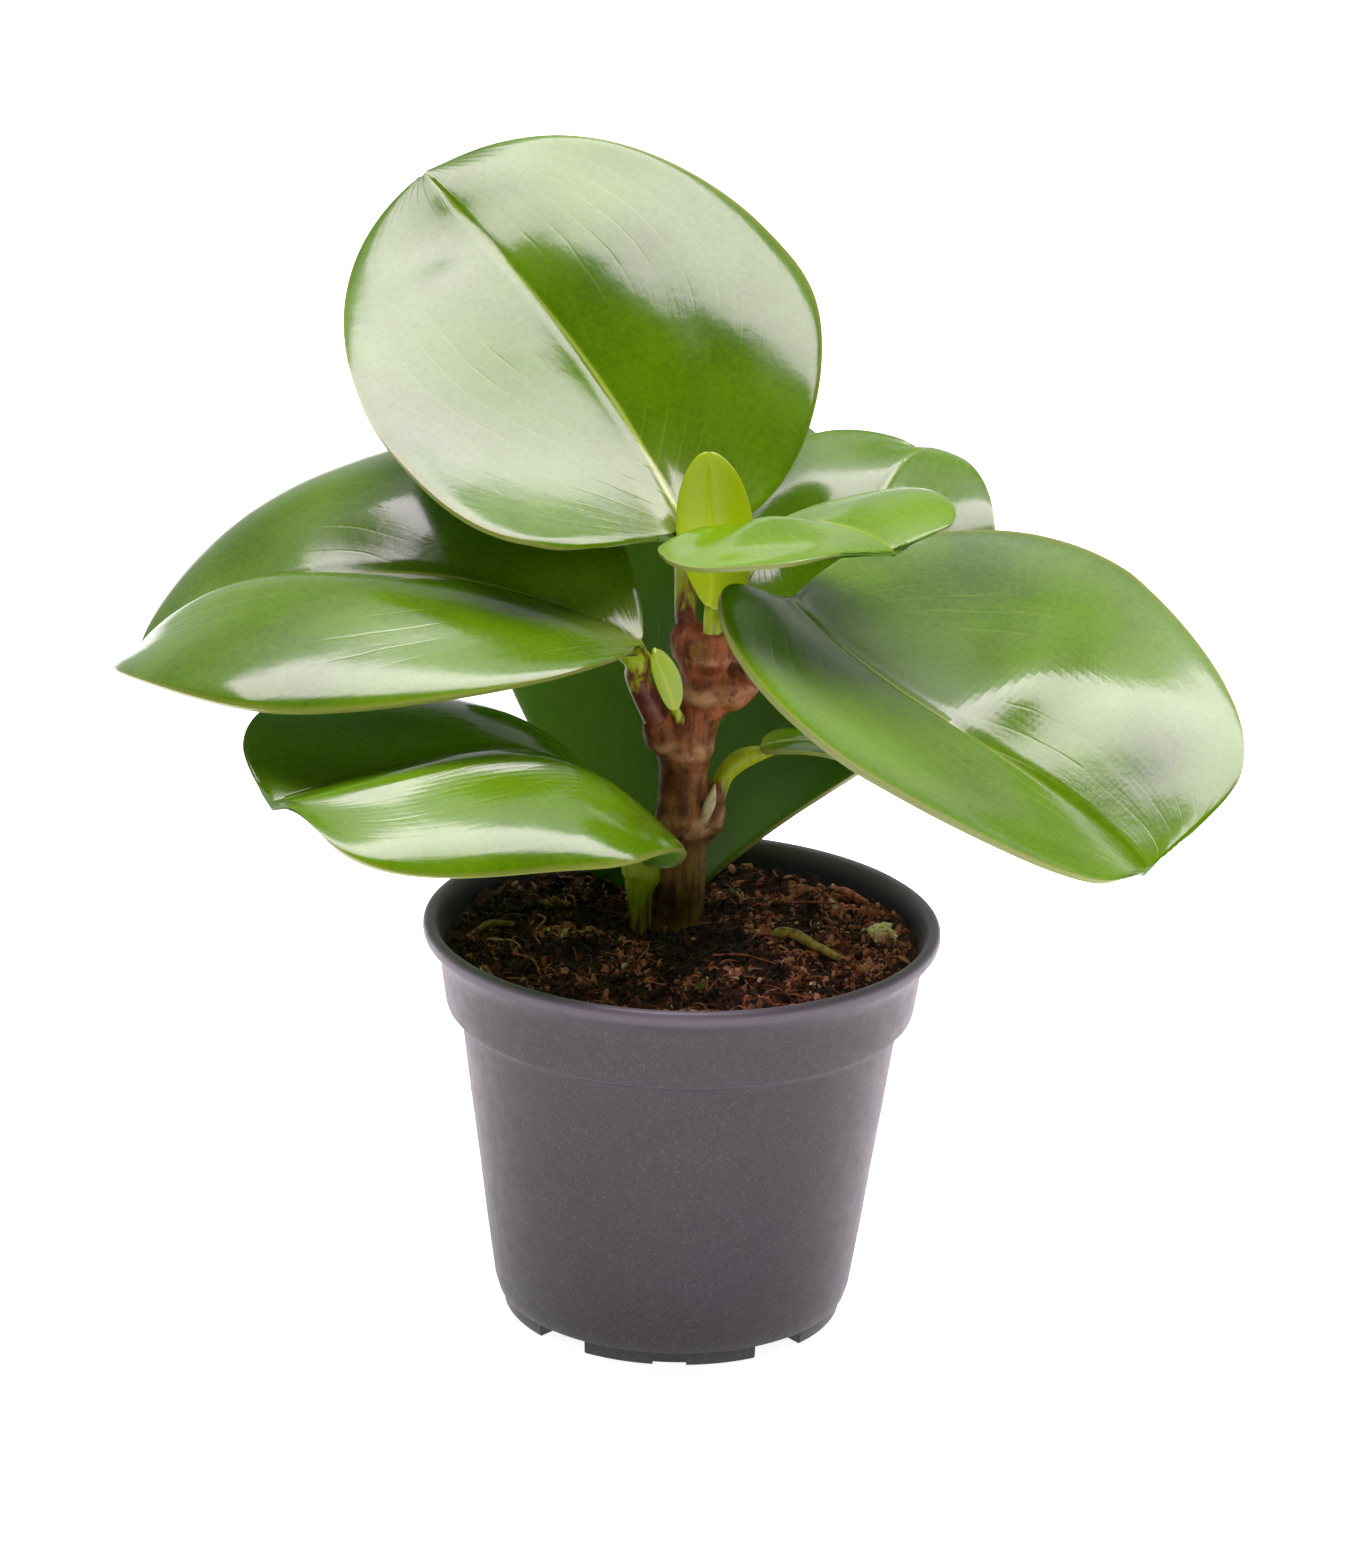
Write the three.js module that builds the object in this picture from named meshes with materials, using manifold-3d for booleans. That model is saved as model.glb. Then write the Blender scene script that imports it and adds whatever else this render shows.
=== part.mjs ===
// Potted peperomia in a small round nursery pot.
// Millimetres, +Z up. The origin is the middle of the pot's underside, on the ground.
// The plant is seen from -Y: +X is to the right and +Y goes away from the viewer.
import * as THREE from 'three';
import { mergeVertices } from 'three/addons/utils/BufferGeometryUtils.js';
import Module from 'manifold-3d';

const wasm = await Module();
wasm.setup();

// Fit between touching pieces.
const GAP = 0.3;

// Pot, as radius and height pairs: under the floor, up the outside, over the lip, down the inside.
const POT_SEGMENTS = 40;
const FLOOR_TOP = 3.0;
const FOOT_HEIGHT = 1.8;
const FOOT_INNER = 20.3;
const FOOT_OUTER = 23.0;
const POT_OUTSIDE = [
  [0, 0], [9, 0], [10, FOOT_HEIGHT], [19.5, FOOT_HEIGHT], [FOOT_INNER, 0], [FOOT_OUTER, 0],
  [23.1, 1.9], [23.6, 2.1], [24.4, 4.2], [29.6, 41.5], [30.1, 42.9], [31.4, 43.8], [31.9, 45.1],
  [32.9, 53.0], [34.5, 53.5], [35.0, 54.2], [35.0, 55.1], [34.6, 55.6], [33.8, 55.6], [33.3, 55.1],
];
const POT_INSIDE = [
  [32.0, 53.4], [31.1, 46.0], [30.6, 44.7], [29.4, 43.7], [28.6, 42.3], [23.3, 4.8], [22.2, FLOOR_TOP],
  [0, FLOOR_TOP],
];
// Notches through the foot ring: angle from the front, width, height.
const WIDE_NOTCHES = { at: [40, 140, 220, 320], width: 8, height: FOOT_HEIGHT };
const LOW_NOTCHES = { at: [0, 90, 180, 270], width: 4.5, height: 0.5 };
const DRAIN_HOLES = { count: 8, radius: 2.4, on: 14.8, sides: 10 };

// Soil: its level, its bumps and its rings and segments.
const SOIL_LEVEL = 52.0;
const SOIL_RINGS = [0, 5, 10, 14.5, 19, 23.5, 27.5, 31];
const SOIL_SEGMENTS = 32;

// Leaf blades.
const BLADE_THICKNESS = 1.3;
const MARGIN_THICKNESS = 0.9;
const TUBE_SIDES = 8;

// Where a side petiole meets the main stem: the swollen ring around its foot, and the share of the
// petiole's length that the socket follows.
const SHEATH = { back: 2.6, ahead: 2.4, swell: 1.1, lip: 0.7 };
const SOCKET_SHARE = 0.6;

// Main stem: points on its axis with the radius there. The swellings are the ringed nodes.
const STEM = [
  [-0.9, 8, 42, 3.0], [-0.9, 8, 50, 3.4], [-0.8, 8, 55, 3.7], [-0.6, 8, 60, 3.7], [-0.5, 8, 64.5, 3.6],
  [-0.3, 8, 67, 4.0], [-0.4, 8, 69.5, 3.5], [-0.4, 8, 74.5, 3.4], [-0.3, 8, 77.8, 4.1], [0.6, 8, 80.5, 3.5],
  [1.6, 8, 83, 3.3], [2.6, 7.9, 86, 4.0], [2.1, 7.7, 88.5, 3.3], [1.7, 7.4, 91, 3.5], [1.8, 7.1, 93.2, 3.2],
];
const STEM_SIDES = 12;
const STEM_STEPS = 26;
const STEM_STEPS_IN_SOIL = 12;

// Each leaf: base and tip of the blade, the frame's roll about the line between them and its twist
// from base to tip, the midrib's rise and sideways bow at one and two thirds, the half widths, the
// fold of each half upwards, the extra bend at each margin, and how far each basal lobe reaches back
// and the tip notch reaches in, as shares of the length. wide moves the widest place to the base,
// full rounds the outline out towards base and tip. belly is how far each half swells between midrib
// and margin, and lift how far its margin stands up, at the base, the middle and the tip. rows and
// cols are the blade's divisions.
const LEAVES = {
  leaf_top: {
    base: [-1.2, 11, 106.3], tip: [-38.5, 54.1, 144.5], roll: 19, twist: 26, arch: [0.7, 6.4],
    sway: [5.2, -1.2], half: [31.1, 34.9], fold: -3, cup: [1, 13], lobe: [0.1, -0.1], notch: 0.005,
    wide: 0.21, full: [0.8, 0.95],
    belly: [[1.5, 0.5, -1], [0, 3.5, 0.5]], lift: [[2.5, 2, -1.5], [3.5, -3, -2]],
    petiole: [[0.1, 7.6, 91.6, 1.6], [-0.7, 9, 96, 1.5], [-0.9, 10.5, 101, 1.5], [-1.2, 11.1, 105.2, 1.7]],
    keel: [0.14, 0.9], rows: 12, cols: 4, colour: 0x5f9a34,
  },
  leaf_young: {
    base: [2.4, 4.3, 98.5], tip: [1.8, 14.1, 117.2], roll: 6, twist: -2, arch: [0, 0], sway: [1, -0.5],
    half: [4.5, 5.8], fold: 8, cup: [-15, -40], lobe: [-0.05, 0.05], notch: 0, wide: 0, full: [1.1, 1.1],
    belly: [[0, 0, 0], [0, 0, 0]], lift: [[0, 0, 0], [0, 0, 0]],
    petiole: [[3.2, 4.7, 91.6, 1.4], [3.1, 4.6, 94.6, 1.4], [2.8, 4.5, 97.6, 1.1]],
    keel: [0.25, 0.5], rows: 9, cols: 2, colour: 0xa9c81c,
  },
  leaf_small: {
    base: [9.1, 9.5, 107.1], tip: [26.4, -9.7, 111.2], roll: -5, twist: -2, arch: [1.4, 4.4],
    sway: [-1.8, -1.2], half: [14.4, 24.6], fold: 18, cup: [-25, -30], lobe: [-0.03, 0.25], notch: 0.01,
    wide: 0, full: [0.85, 0.35], belly: [[0, 0, 0], [0, 0, 0]], lift: [[0, 0, 0], [0, 0, 0]],
    petiole: [[3.4, 9, 91.6, 1.4], [4.6, 10.8, 96.4, 1.3], [7.1, 12.1, 101.6, 1.3], [9, 10.8, 105.6, 1.3]],
    keel: [0.16, 0.7], rows: 11, cols: 3, colour: 0x7db33c,
  },
  leaf_right: {
    base: [12.9, 4, 99.2], tip: [60.3, -24.8, 73.2], roll: 10, twist: -14, arch: [-2.5, 3.7],
    sway: [1.1, 1.1], half: [41.2, 28.1], fold: 22, cup: [15, -59], lobe: [0.15, 0.15], notch: -0.01,
    wide: 0.26, full: [1.3, 0.4],
    belly: [[-1, 1.5, 3], [-2, -3, 0]], lift: [[-0.5, -0.5, -1], [1.5, 2, 2.5]],
    petiole: [[5.6, 6.8, 86.2, 2], [8.2, 6, 88.8, 1.9], [10.9, 5.2, 93.4, 1.7], [12.5, 4.4, 97.9, 1.7]],
    keel: [0.14, 0.9], rows: 12, cols: 4, colour: 0x5f9a34,
  },
  leaf_back_right: {
    base: [7.6, 24.4, 88.8], tip: [32.9, 50.1, 107.8], roll: -22, twist: 37, arch: [-8.2, 10.2],
    sway: [9.6, -2.5], half: [22.2, 21.6], fold: 17, cup: [-42, -31], lobe: [0.05, 0.06], notch: 0.01,
    wide: 0.14, full: [0.85, 1.05],
    belly: [[1, 0.5, -1], [0, -1.5, -1]], lift: [[0, 0, 0], [0, 0.5, 0.5]],
    petiole: [[4.2, 11, 86.4, 1.6], [5.4, 14.5, 87.2, 1.5], [6.8, 19, 88.3, 1.5], [7.4, 22.6, 88.8, 1.5]],
    keel: [0.16, 0.8], rows: 11, cols: 3, colour: 0x6aa045,
  },
  leaf_left: {
    base: [-6.9, 3, 93.1], tip: [-78.1, 25.7, 80.9], roll: 16, twist: -17, arch: [13.6, 16.9],
    sway: [3.9, 4.9], half: [34.5, 32.9], fold: 27, cup: [-62, -52], lobe: [0.03, -0.05], notch: 0.02,
    wide: -0.09, full: [1.25, 1.25],
    belly: [[0.5, 0, -0.5], [-1, 1.5, -0.5]], lift: [[3, 2.5, 0], [3, 1, -3]],
    petiole: [[-2.9, 7, 79.2, 1.8], [-4.9, 5.6, 83.6, 1.8], [-6.9, 4.2, 88.4, 1.7], [-7.5, 3.1, 91.9, 1.8]],
    keel: [0.14, 0.9], rows: 12, cols: 4, colour: 0x55912f,
  },
  leaf_low_left: {
    base: [-6, 6, 61.9], tip: [-54.4, -20.8, 77.5], roll: -1, twist: 22, arch: [21.9, 7.5],
    sway: [2.9, -0.7], half: [31.9, 21.9], fold: 28, cup: [-88, -55], lobe: [-0.03, 0.25], notch: 0.01,
    wide: 0.13, full: [0.8, 0.4],
    belly: [[-5, -1, 1], [0.5, 0.5, -2]], lift: [[5.5, 2, 1.5], [-1.5, 1, 8]],
    petiole: [[-5.6, 4.9, 46, 1.3], [-5.6, 4.9, 52, 1.4], [-5.8, 5.2, 57.5, 1.5], [-6.2, 5.8, 61, 1.8]],
    keel: [0.1, 0.9], rows: 12, cols: 4, colour: 0x5f9a3c,
  },
  leaf_back: {
    base: [1, 14, 54], tip: [17.5, 59.5, 107.6], roll: -1, twist: -45, arch: [-3, 8], sway: [-7, -1],
    half: [33.5, 30.5], fold: 16, cup: [-9, -31], lobe: [-0.11, -0.03], notch: 0.02, wide: -0.03,
    full: [1.05, 0.85],
    belly: [[0, 0, 0], [0, 0, 0]], lift: [[0, 0, 0], [0, 0, 0]],
    petiole: [[0.8, 14, 45.5, 1.6], [0.8, 14, 50, 1.6], [1, 14, 53.4, 1.6]],
    keel: [0.16, 0.9], rows: 12, cols: 4, colour: 0x3f7426,
  },
  leaf_hidden: {
    base: [10.3, 8.5, 77.2], tip: [25.6, 7, 72.5], roll: 0, twist: 0, arch: [2.5, 3], sway: [0, 0],
    half: [7.5, 7.5], fold: 12, cup: [-20, -20], lobe: [0.04, 0.04], notch: 0.01, wide: 0, full: [0.9, 0.85],
    belly: [[0, 0, 0], [0, 0, 0]], lift: [[0, 0, 0], [0, 0, 0]],
    petiole: [[2.8, 8.2, 66.6, 1.4], [4.2, 8.3, 71, 1.4], [5.4, 8.3, 73.8, 1.3], [7.9, 8.5, 76, 1.4]],
    keel: [0.18, 0.7], rows: 9, cols: 2, colour: 0x86ad3c,
  },
  leaf_axil: {
    base: [-2, 2.6, 84.6], tip: [-4.7, 0.9, 93.4], roll: 0, twist: 10, arch: [-0.6, -0.4], sway: [0.5, 0.3],
    half: [1.5, 1.9], fold: 10, cup: [-10, -10], lobe: [0, 0], notch: 0, wide: 0, full: [1, 1],
    belly: [[0, 0, 0], [0, 0, 0]], lift: [[0, 0, 0], [0, 0, 0]],
    petiole: [[-0.9, 5.8, 81.6, 0.9], [-1.5, 3.9, 83.4, 0.8]], sheath: false,
    keel: [0.3, 0.4], rows: 7, cols: 2, facing: [0.1, -1, 0.2], colour: 0x8fb02a,
  },
};

// Tiny bud beside the low right shoot: axis points with the radius there.
const BUD = [[2.4, 5.6, 67.8, 0.7], [3.3, 5.3, 70.2, 0.8], [3.9, 5.3, 73.2, 0.25]];

// Bits lying in the soil's surface.
const TWIGS = {
  twig_green: {
    points: [[12.2, 1.9, 52.9, 0.8], [15.6, 0.4, 53.1, 1.1], [18.6, -3.6, 53, 1.1], [22.3, -7.6, 52.8, 0.7]],
    colour: 0x8d8a45,
  },
  twig_tan: {
    points: [[-28.4, -1, 52.8, 0.5], [-26, 2.2, 53.1, 0.6], [-22.8, 3.6, 52.8, 0.5]],
    colour: 0x7d6138,
  },
  twig_red: {
    points: [[20.6, 20.4, 53, 0.6], [23, 17.2, 53.3, 0.8], [26.4, 13, 52.9, 0.6]],
    colour: 0x8a4a34,
  },
};
const CHIP = { at: [27.2, 3.6, 52.9], size: [3.6, 3.0, 2.6] };

const rad = THREE.MathUtils.degToRad;
const vec = (p) => new THREE.Vector3(p[0], p[1], p[2]);

// A closed geometry as a solid, turned right side out.
function solidOf(geometry) {
  let g = geometry.index ? geometry.toNonIndexed() : geometry.clone();
  g.deleteAttribute('normal');
  g.deleteAttribute('uv');
  g = mergeVertices(g, 1e-4);
  const pos = g.attributes.position.array;
  const idx = [];
  let volume = 0;
  const a = new THREE.Vector3();
  const b = new THREE.Vector3();
  const c = new THREE.Vector3();
  for (let i = 0; i < g.index.count; i += 3) {
    const t = [g.index.getX(i), g.index.getX(i + 1), g.index.getX(i + 2)];
    if (t[0] === t[1] || t[1] === t[2] || t[0] === t[2]) continue;
    a.fromArray(pos, t[0] * 3);
    b.fromArray(pos, t[1] * 3);
    c.fromArray(pos, t[2] * 3);
    volume += a.dot(b.cross(c));
    idx.push(...t);
  }
  if (volume < 0) {
    for (let i = 0; i < idx.length; i += 3) [idx[i + 1], idx[i + 2]] = [idx[i + 2], idx[i + 1]];
  }
  return new wasm.Manifold(new wasm.Mesh({
    numProp: 3, vertProperties: new Float32Array(pos), triVerts: new Uint32Array(idx),
  }));
}

function geometryOf(solid) {
  const m = solid.getMesh();
  const g = new THREE.BufferGeometry();
  g.setAttribute('position', new THREE.BufferAttribute(Float32Array.from(m.vertProperties), 3));
  g.setIndex(new THREE.BufferAttribute(Uint32Array.from(m.triVerts), 1));
  g.computeVertexNormals();
  return g;
}

function triangles(points, faces) {
  const g = new THREE.BufferGeometry();
  g.setAttribute('position', new THREE.Float32BufferAttribute(points.flatMap((p) => p.toArray()), 3));
  g.setIndex(faces.flat());
  return g;
}

// A round tube of changing radius along a smooth curve, closed at both ends. The hollow for one is
// the same tube grown by the fit, as far along as it is needed.
function tube(points, steps, { sides = TUBE_SIDES, grow = 0, until = steps } = {}) {
  const curve = new THREE.CatmullRomCurve3(points.map(vec), false, 'centripetal');
  const frames = curve.computeFrenetFrames(steps, false);
  const verts = [];
  const faces = [];
  for (let i = 0; i <= until; i++) {
    const u = curve.getUtoTmapping(i / steps);
    const k = Math.min(Math.floor(u * (points.length - 1)), points.length - 2);
    const f = u * (points.length - 1) - k;
    const r = points[k][3] * (1 - f) + points[k + 1][3] * f + grow;
    const at = curve.getPointAt(i / steps);
    if (i === 0) at.addScaledVector(frames.tangents[0], -grow);
    if (i === until) at.addScaledVector(frames.tangents[i], grow);
    for (let j = 0; j < sides; j++) {
      const w = (2 * Math.PI * j) / sides;
      verts.push(at.clone().addScaledVector(frames.normals[i], r * Math.cos(w))
        .addScaledVector(frames.binormals[i], r * Math.sin(w)));
    }
  }
  for (let i = 0; i < until; i++) {
    for (let j = 0; j < sides; j++) {
      const a = i * sides + j;
      const b = i * sides + ((j + 1) % sides);
      faces.push([a, b, b + sides], [a, b + sides, a + sides]);
    }
  }
  for (let j = 1; j < sides - 1; j++) {
    faces.push([0, j + 1, j], [until * sides, until * sides + j, until * sides + j + 1]);
  }
  return triangles(verts, faces);
}

// Where the flat blade's point x along the midrib and y across it lies in space.
function bladeFrame(leaf) {
  const base = vec(leaf.base);
  const tip = vec(leaf.tip);
  const chord = tip.clone().sub(base);
  const span = chord.length();
  chord.normalize();
  let side = chord.clone().cross(new THREE.Vector3(0, 0, 1)).normalize();
  let up = side.clone().cross(chord);
  const roll = rad(leaf.roll);
  const s = side.clone().multiplyScalar(Math.cos(roll)).addScaledVector(up, Math.sin(roll));
  up = up.multiplyScalar(Math.cos(roll)).addScaledVector(side, -Math.sin(roll));
  side = s;
  if (leaf.facing) {
    up = vec(leaf.facing).addScaledVector(chord, -vec(leaf.facing).dot(chord)).normalize();
    side = chord.clone().cross(up).normalize();
  }
  const third = (n) => base.clone().addScaledVector(chord, (span * (n + 1)) / 3)
    .addScaledVector(up, leaf.arch[n]).addScaledVector(side, leaf.sway[n]);
  const midrib = new THREE.CubicBezierCurve3(base, third(0), third(1), tip);
  return { midrib, length: midrib.getLength(), side, up };
}

// A value along the blade, from its values at the base, the middle and the tip.
function alongBlade([base, middle, tip], u) {
  return base * (1 - u) * (1 - 2 * u) + middle * 4 * u * (1 - u) + tip * u * (2 * u - 1);
}

function bladePoint(leaf, frame, x, y) {
  const { midrib, length, side, up } = frame;
  const u = Math.min(Math.max(x / length, 0), 1);
  const at = midrib.getPointAt(u);
  const along = midrib.getTangentAt(u);
  at.addScaledVector(along, x - u * length);
  const turn = rad(leaf.twist) * (u - 0.5);
  const across = side.clone().multiplyScalar(Math.cos(turn)).addScaledVector(up, Math.sin(turn));
  across.addScaledVector(along, -across.dot(along)).normalize();
  const normal = across.clone().cross(along);
  const left = y < 0;
  const half = left ? 0 : 1;
  const wide = Math.abs(y);
  const share = wide / leaf.half[half];
  const fold = rad(leaf.fold);
  const bend = rad(leaf.cup[half]) / leaf.half[half];
  const lean = fold + bend * wide;
  const swell = 4 * share * (1 - share) * alongBlade(leaf.belly[half], u)
    + share * share * alongBlade(leaf.lift[half], u);
  let out = wide * Math.cos(fold);
  let rise = wide * Math.sin(fold);
  if (Math.abs(bend) > 1e-6) {
    out = (Math.sin(lean) - Math.sin(fold)) / bend;
    rise = (Math.cos(fold) - Math.cos(lean)) / bend;
  }
  out -= swell * Math.sin(lean);
  rise += swell * Math.cos(lean);
  return at.addScaledVector(across, left ? -out : out).addScaledVector(normal, rise);
}

// The blade's outline at angle w, from 0 at the base to pi at the tip: share of length, share of half width.
function outline(leaf, w, s) {
  const back = leaf.lobe[s] * (w < Math.PI / 2 ? Math.sin(2 * w) ** 1.5 : 0);
  const notch = leaf.notch * Math.exp(-(((Math.PI - w) / 0.22) ** 2));
  const full = leaf.full[w < Math.PI / 2 ? 0 : 1];
  const breadth = Math.max(Math.sin(w), 0) ** full * (1 + leaf.wide * Math.cos(w));
  return [0.5 - 0.5 * Math.cos(w) - back - notch, breadth];
}

function blade(leaf, frame) {
  const { rows, cols } = leaf;
  const L = frame.length;
  const flat = [];
  for (let i = -cols; i <= cols; i++) {
    for (let j = 1; j < rows; j++) {
      const w = (Math.PI * j) / rows;
      const s = i < 0 ? 0 : 1;
      const v = Math.abs(i) / cols;
      const [ox, oy] = outline(leaf, w, s);
      const mx = (0.5 - 0.5 * Math.cos(w)) * (1 - leaf.notch);
      flat.push({ x: (mx * (1 - v) + ox * v) * L, y: (i < 0 ? -1 : 1) * oy * v * leaf.half[s], v });
    }
  }
  flat.push({ x: 0, y: 0, v: 1 }, { x: (1 - leaf.notch) * L, y: 0, v: 1 });
  const step = 0.4; // mm either side of a point, to find the surface's normal there
  const top = [];
  const under = [];
  for (const p of flat) {
    const at = bladePoint(leaf, frame, p.x, p.y);
    const dx = bladePoint(leaf, frame, p.x + step, p.y).sub(bladePoint(leaf, frame, p.x - step, p.y));
    const dy = bladePoint(leaf, frame, p.x, p.y + step).sub(bladePoint(leaf, frame, p.x, p.y - step));
    const n = dy.cross(dx).normalize();
    const t = (BLADE_THICKNESS * (1 - p.v) + MARGIN_THICKNESS * p.v) / 2;
    top.push(at.clone().addScaledVector(n, t));
    under.push(at.clone().addScaledVector(n, -t));
  }
  const n = flat.length;
  const id = (i, j) => (i + cols) * (rows - 1) + (j - 1);
  const base = n - 2;
  const tip = n - 1;
  const sheet = [];
  for (let i = -cols; i < cols; i++) {
    sheet.push([base, id(i, 1), id(i + 1, 1)], [tip, id(i + 1, rows - 1), id(i, rows - 1)]);
    for (let j = 1; j < rows - 1; j++) {
      const [a, b, c, d] = [id(i, j), id(i, j + 1), id(i + 1, j), id(i + 1, j + 1)];
      if (i < 0) sheet.push([a, b, c], [c, b, d]);
      else sheet.push([a, b, d], [a, d, c]);
    }
  }
  const rim = [base];
  for (let j = 1; j < rows; j++) rim.push(id(cols, j));
  rim.push(tip);
  for (let j = rows - 1; j > 0; j--) rim.push(id(-cols, j));
  const faces = [];
  for (const [a, b, c] of sheet) faces.push([a, b, c], [a + n, c + n, b + n]);
  for (let k = 0; k < rim.length; k++) {
    const a = rim[k];
    const b = rim[(k + 1) % rim.length];
    faces.push([a, b, b + n], [a, b + n, a + n]);
  }
  return triangles([...top, ...under], faces);
}

// The petiole runs on as a keel under the midrib and fades out there.
function petiolePoints(leaf, frame) {
  const [share, radius] = leaf.keel;
  const at = bladePoint(leaf, frame, share * frame.length, 0);
  const under = frame.up.clone().multiplyScalar(-radius * 0.55);
  return [...leaf.petiole, [...at.add(under).toArray(), radius * 0.8]];
}

// The swollen ring around a petiole's foot, along the petiole's first stretch.
function sheathPoints([foot, next]) {
  const along = vec(next).sub(vec(foot)).normalize();
  const at = (distance, radius) => [...vec(foot).addScaledVector(along, distance).toArray(), radius];
  const radius = foot[3];
  return [at(-SHEATH.back, radius), at(0, radius + SHEATH.swell), at(SHEATH.ahead, radius + SHEATH.lip)];
}

function material(name, color, roughness) {
  return new THREE.MeshStandardMaterial({ name, color, roughness, metalness: 0 });
}
const potMaterial = material('pot', 0x5c5459, 0.5);
const soilMaterial = material('soil', 0x2a1c14, 0.95);
const barkMaterial = material('bark', 0x6a4632, 0.7);

const plant = new THREE.Group();
function put(name, geometry, mat) {
  const mesh = new THREE.Mesh(geometry, mat);
  mesh.name = name;
  plant.add(mesh);
}

// Pot.
function lathe(profile, segments) {
  const g = new THREE.LatheGeometry(profile.map(([r, z]) => new THREE.Vector2(r, z)), segments);
  return g.rotateX(Math.PI / 2);
}
function notchBlock(angle, width, height) {
  const depth = FOOT_OUTER - FOOT_INNER + 4;
  const g = new THREE.BoxGeometry(width, depth, height + 1);
  g.translate(0, -(FOOT_INNER + FOOT_OUTER) / 2, (height - 1) / 2);
  return g.rotateZ(rad(angle));
}
let pot = solidOf(lathe([...POT_OUTSIDE, ...POT_INSIDE], POT_SEGMENTS));
for (const set of [WIDE_NOTCHES, LOW_NOTCHES]) {
  for (const angle of set.at) pot = pot.subtract(solidOf(notchBlock(angle, set.width, set.height)));
}
for (let k = 0; k < DRAIN_HOLES.count; k++) {
  const hole = new THREE.CylinderGeometry(DRAIN_HOLES.radius, DRAIN_HOLES.radius, 6, DRAIN_HOLES.sides);
  const angle = (2 * Math.PI * (k + 0.5)) / DRAIN_HOLES.count;
  hole.rotateX(Math.PI / 2).translate(DRAIN_HOLES.on, 0, 2).rotateZ(angle);
  pot = pot.subtract(solidOf(hole));
}
put('pot', geometryOf(pot), potMaterial);

// Soil: a bumpy top on a body that follows the pot's inside.
function soilTop(x, y) {
  const bumps = 0.45 * Math.sin(0.41 * x + 0.3) * Math.cos(0.37 * y - 0.6)
    + 0.3 * Math.sin(0.93 * x - 0.7 * y + 1.1) + 0.25 * Math.sin(1.27 * y + 0.5 * x);
  const bank = 0.5 * Math.exp(-((x - 26) ** 2 + (y - 6) ** 2) / 160);
  return SOIL_LEVEL + bumps + bank;
}
function soilBody() {
  const verts = [];
  const faces = [];
  const ring = (r, z) => {
    for (let k = 0; k < SOIL_SEGMENTS; k++) {
      const w = (2 * Math.PI * k) / SOIL_SEGMENTS;
      const x = r * Math.cos(w);
      const y = r * Math.sin(w);
      verts.push(new THREE.Vector3(x, y, z === null ? soilTop(x, y) : z));
    }
  };
  verts.push(new THREE.Vector3(0, 0, soilTop(0, 0)));
  for (const r of SOIL_RINGS.slice(1)) ring(r, null);
  const under = FLOOR_TOP + GAP;
  const wall = [[31.4, 51], [30.7, 46.2], [30.2, 45], [29, 44], [28.2, 42.5], [22.8, 5], [21.9, under]];
  for (const [r, z] of wall) ring(r, z);
  verts.push(new THREE.Vector3(0, 0, under));
  const n = SOIL_SEGMENTS;
  const rings = SOIL_RINGS.length - 1 + wall.length;
  for (let k = 0; k < n; k++) {
    const m = (k + 1) % n;
    faces.push([0, 1 + k, 1 + m]);
    for (let i = 0; i < rings - 1; i++) {
      const a = 1 + i * n;
      faces.push([a + k, a + n + k, a + n + m], [a + k, a + n + m, a + m]);
    }
    const last = 1 + (rings - 1) * n;
    faces.push([last + k, verts.length - 1, last + m]);
  }
  return triangles(verts, faces);
}
let soil = solidOf(soilBody());
let stem = solidOf(tube(STEM, STEM_STEPS, { sides: STEM_SIDES }));

// Leaves, each one piece with its petiole. A petiole ends in a socket of the stem or stands in the soil.
const inSoil = new Set(['leaf_low_left', 'leaf_back']);
const cuts = [];
for (const [name, leaf] of Object.entries(LEAVES)) {
  const frame = bladeFrame(leaf);
  const points = petiolePoints(leaf, frame);
  const steps = 2 * points.length + 2;
  const whole = solidOf(blade(leaf, frame)).add(solidOf(tube(points, steps)));
  put(name, geometryOf(whole), material(name, leaf.colour, 0.3));
  const socket = solidOf(tube(points, steps, { grow: GAP, until: Math.ceil(steps * SOCKET_SHARE) }));
  if (inSoil.has(name)) {
    soil = soil.subtract(socket);
  } else {
    if (leaf.sheath !== false) stem = stem.add(solidOf(tube(sheathPoints(leaf.petiole), 4)));
    cuts.push(socket);
  }
}
const bud = solidOf(tube(BUD, 6, { sides: 8 }));
put('bud', geometryOf(bud), material('bud', 0xb9b27a, 0.5));
cuts.push(solidOf(tube(BUD, 6, { sides: 8, grow: GAP })));
for (const cut of cuts) stem = stem.subtract(cut);
put('main_stem', geometryOf(stem), barkMaterial);
const stemHole = tube(STEM, STEM_STEPS, { sides: STEM_SIDES, grow: GAP, until: STEM_STEPS_IN_SOIL });
soil = soil.subtract(solidOf(stemHole));

// Bits in the soil's surface, each in a hollow of its own shape.
for (const [name, twig] of Object.entries(TWIGS)) {
  put(name, geometryOf(solidOf(tube(twig.points, 8, { sides: 6 }))), material(name, twig.colour, 0.8));
  soil = soil.subtract(solidOf(tube(twig.points, 8, { sides: 6, grow: GAP })));
}
function chip(grow) {
  const g = new THREE.DodecahedronGeometry(0.5);
  g.scale(CHIP.size[0] + grow, CHIP.size[1] + grow, CHIP.size[2] + grow);
  return g.rotateZ(0.4).rotateX(0.3).translate(...CHIP.at);
}
put('chip_pale', geometryOf(solidOf(chip(0))), material('chip_pale', 0xc8b98a, 0.7));
soil = soil.subtract(solidOf(chip(2 * GAP)));
put('soil', geometryOf(soil), soilMaterial);

export default plant;
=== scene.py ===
import math
import random

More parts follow.
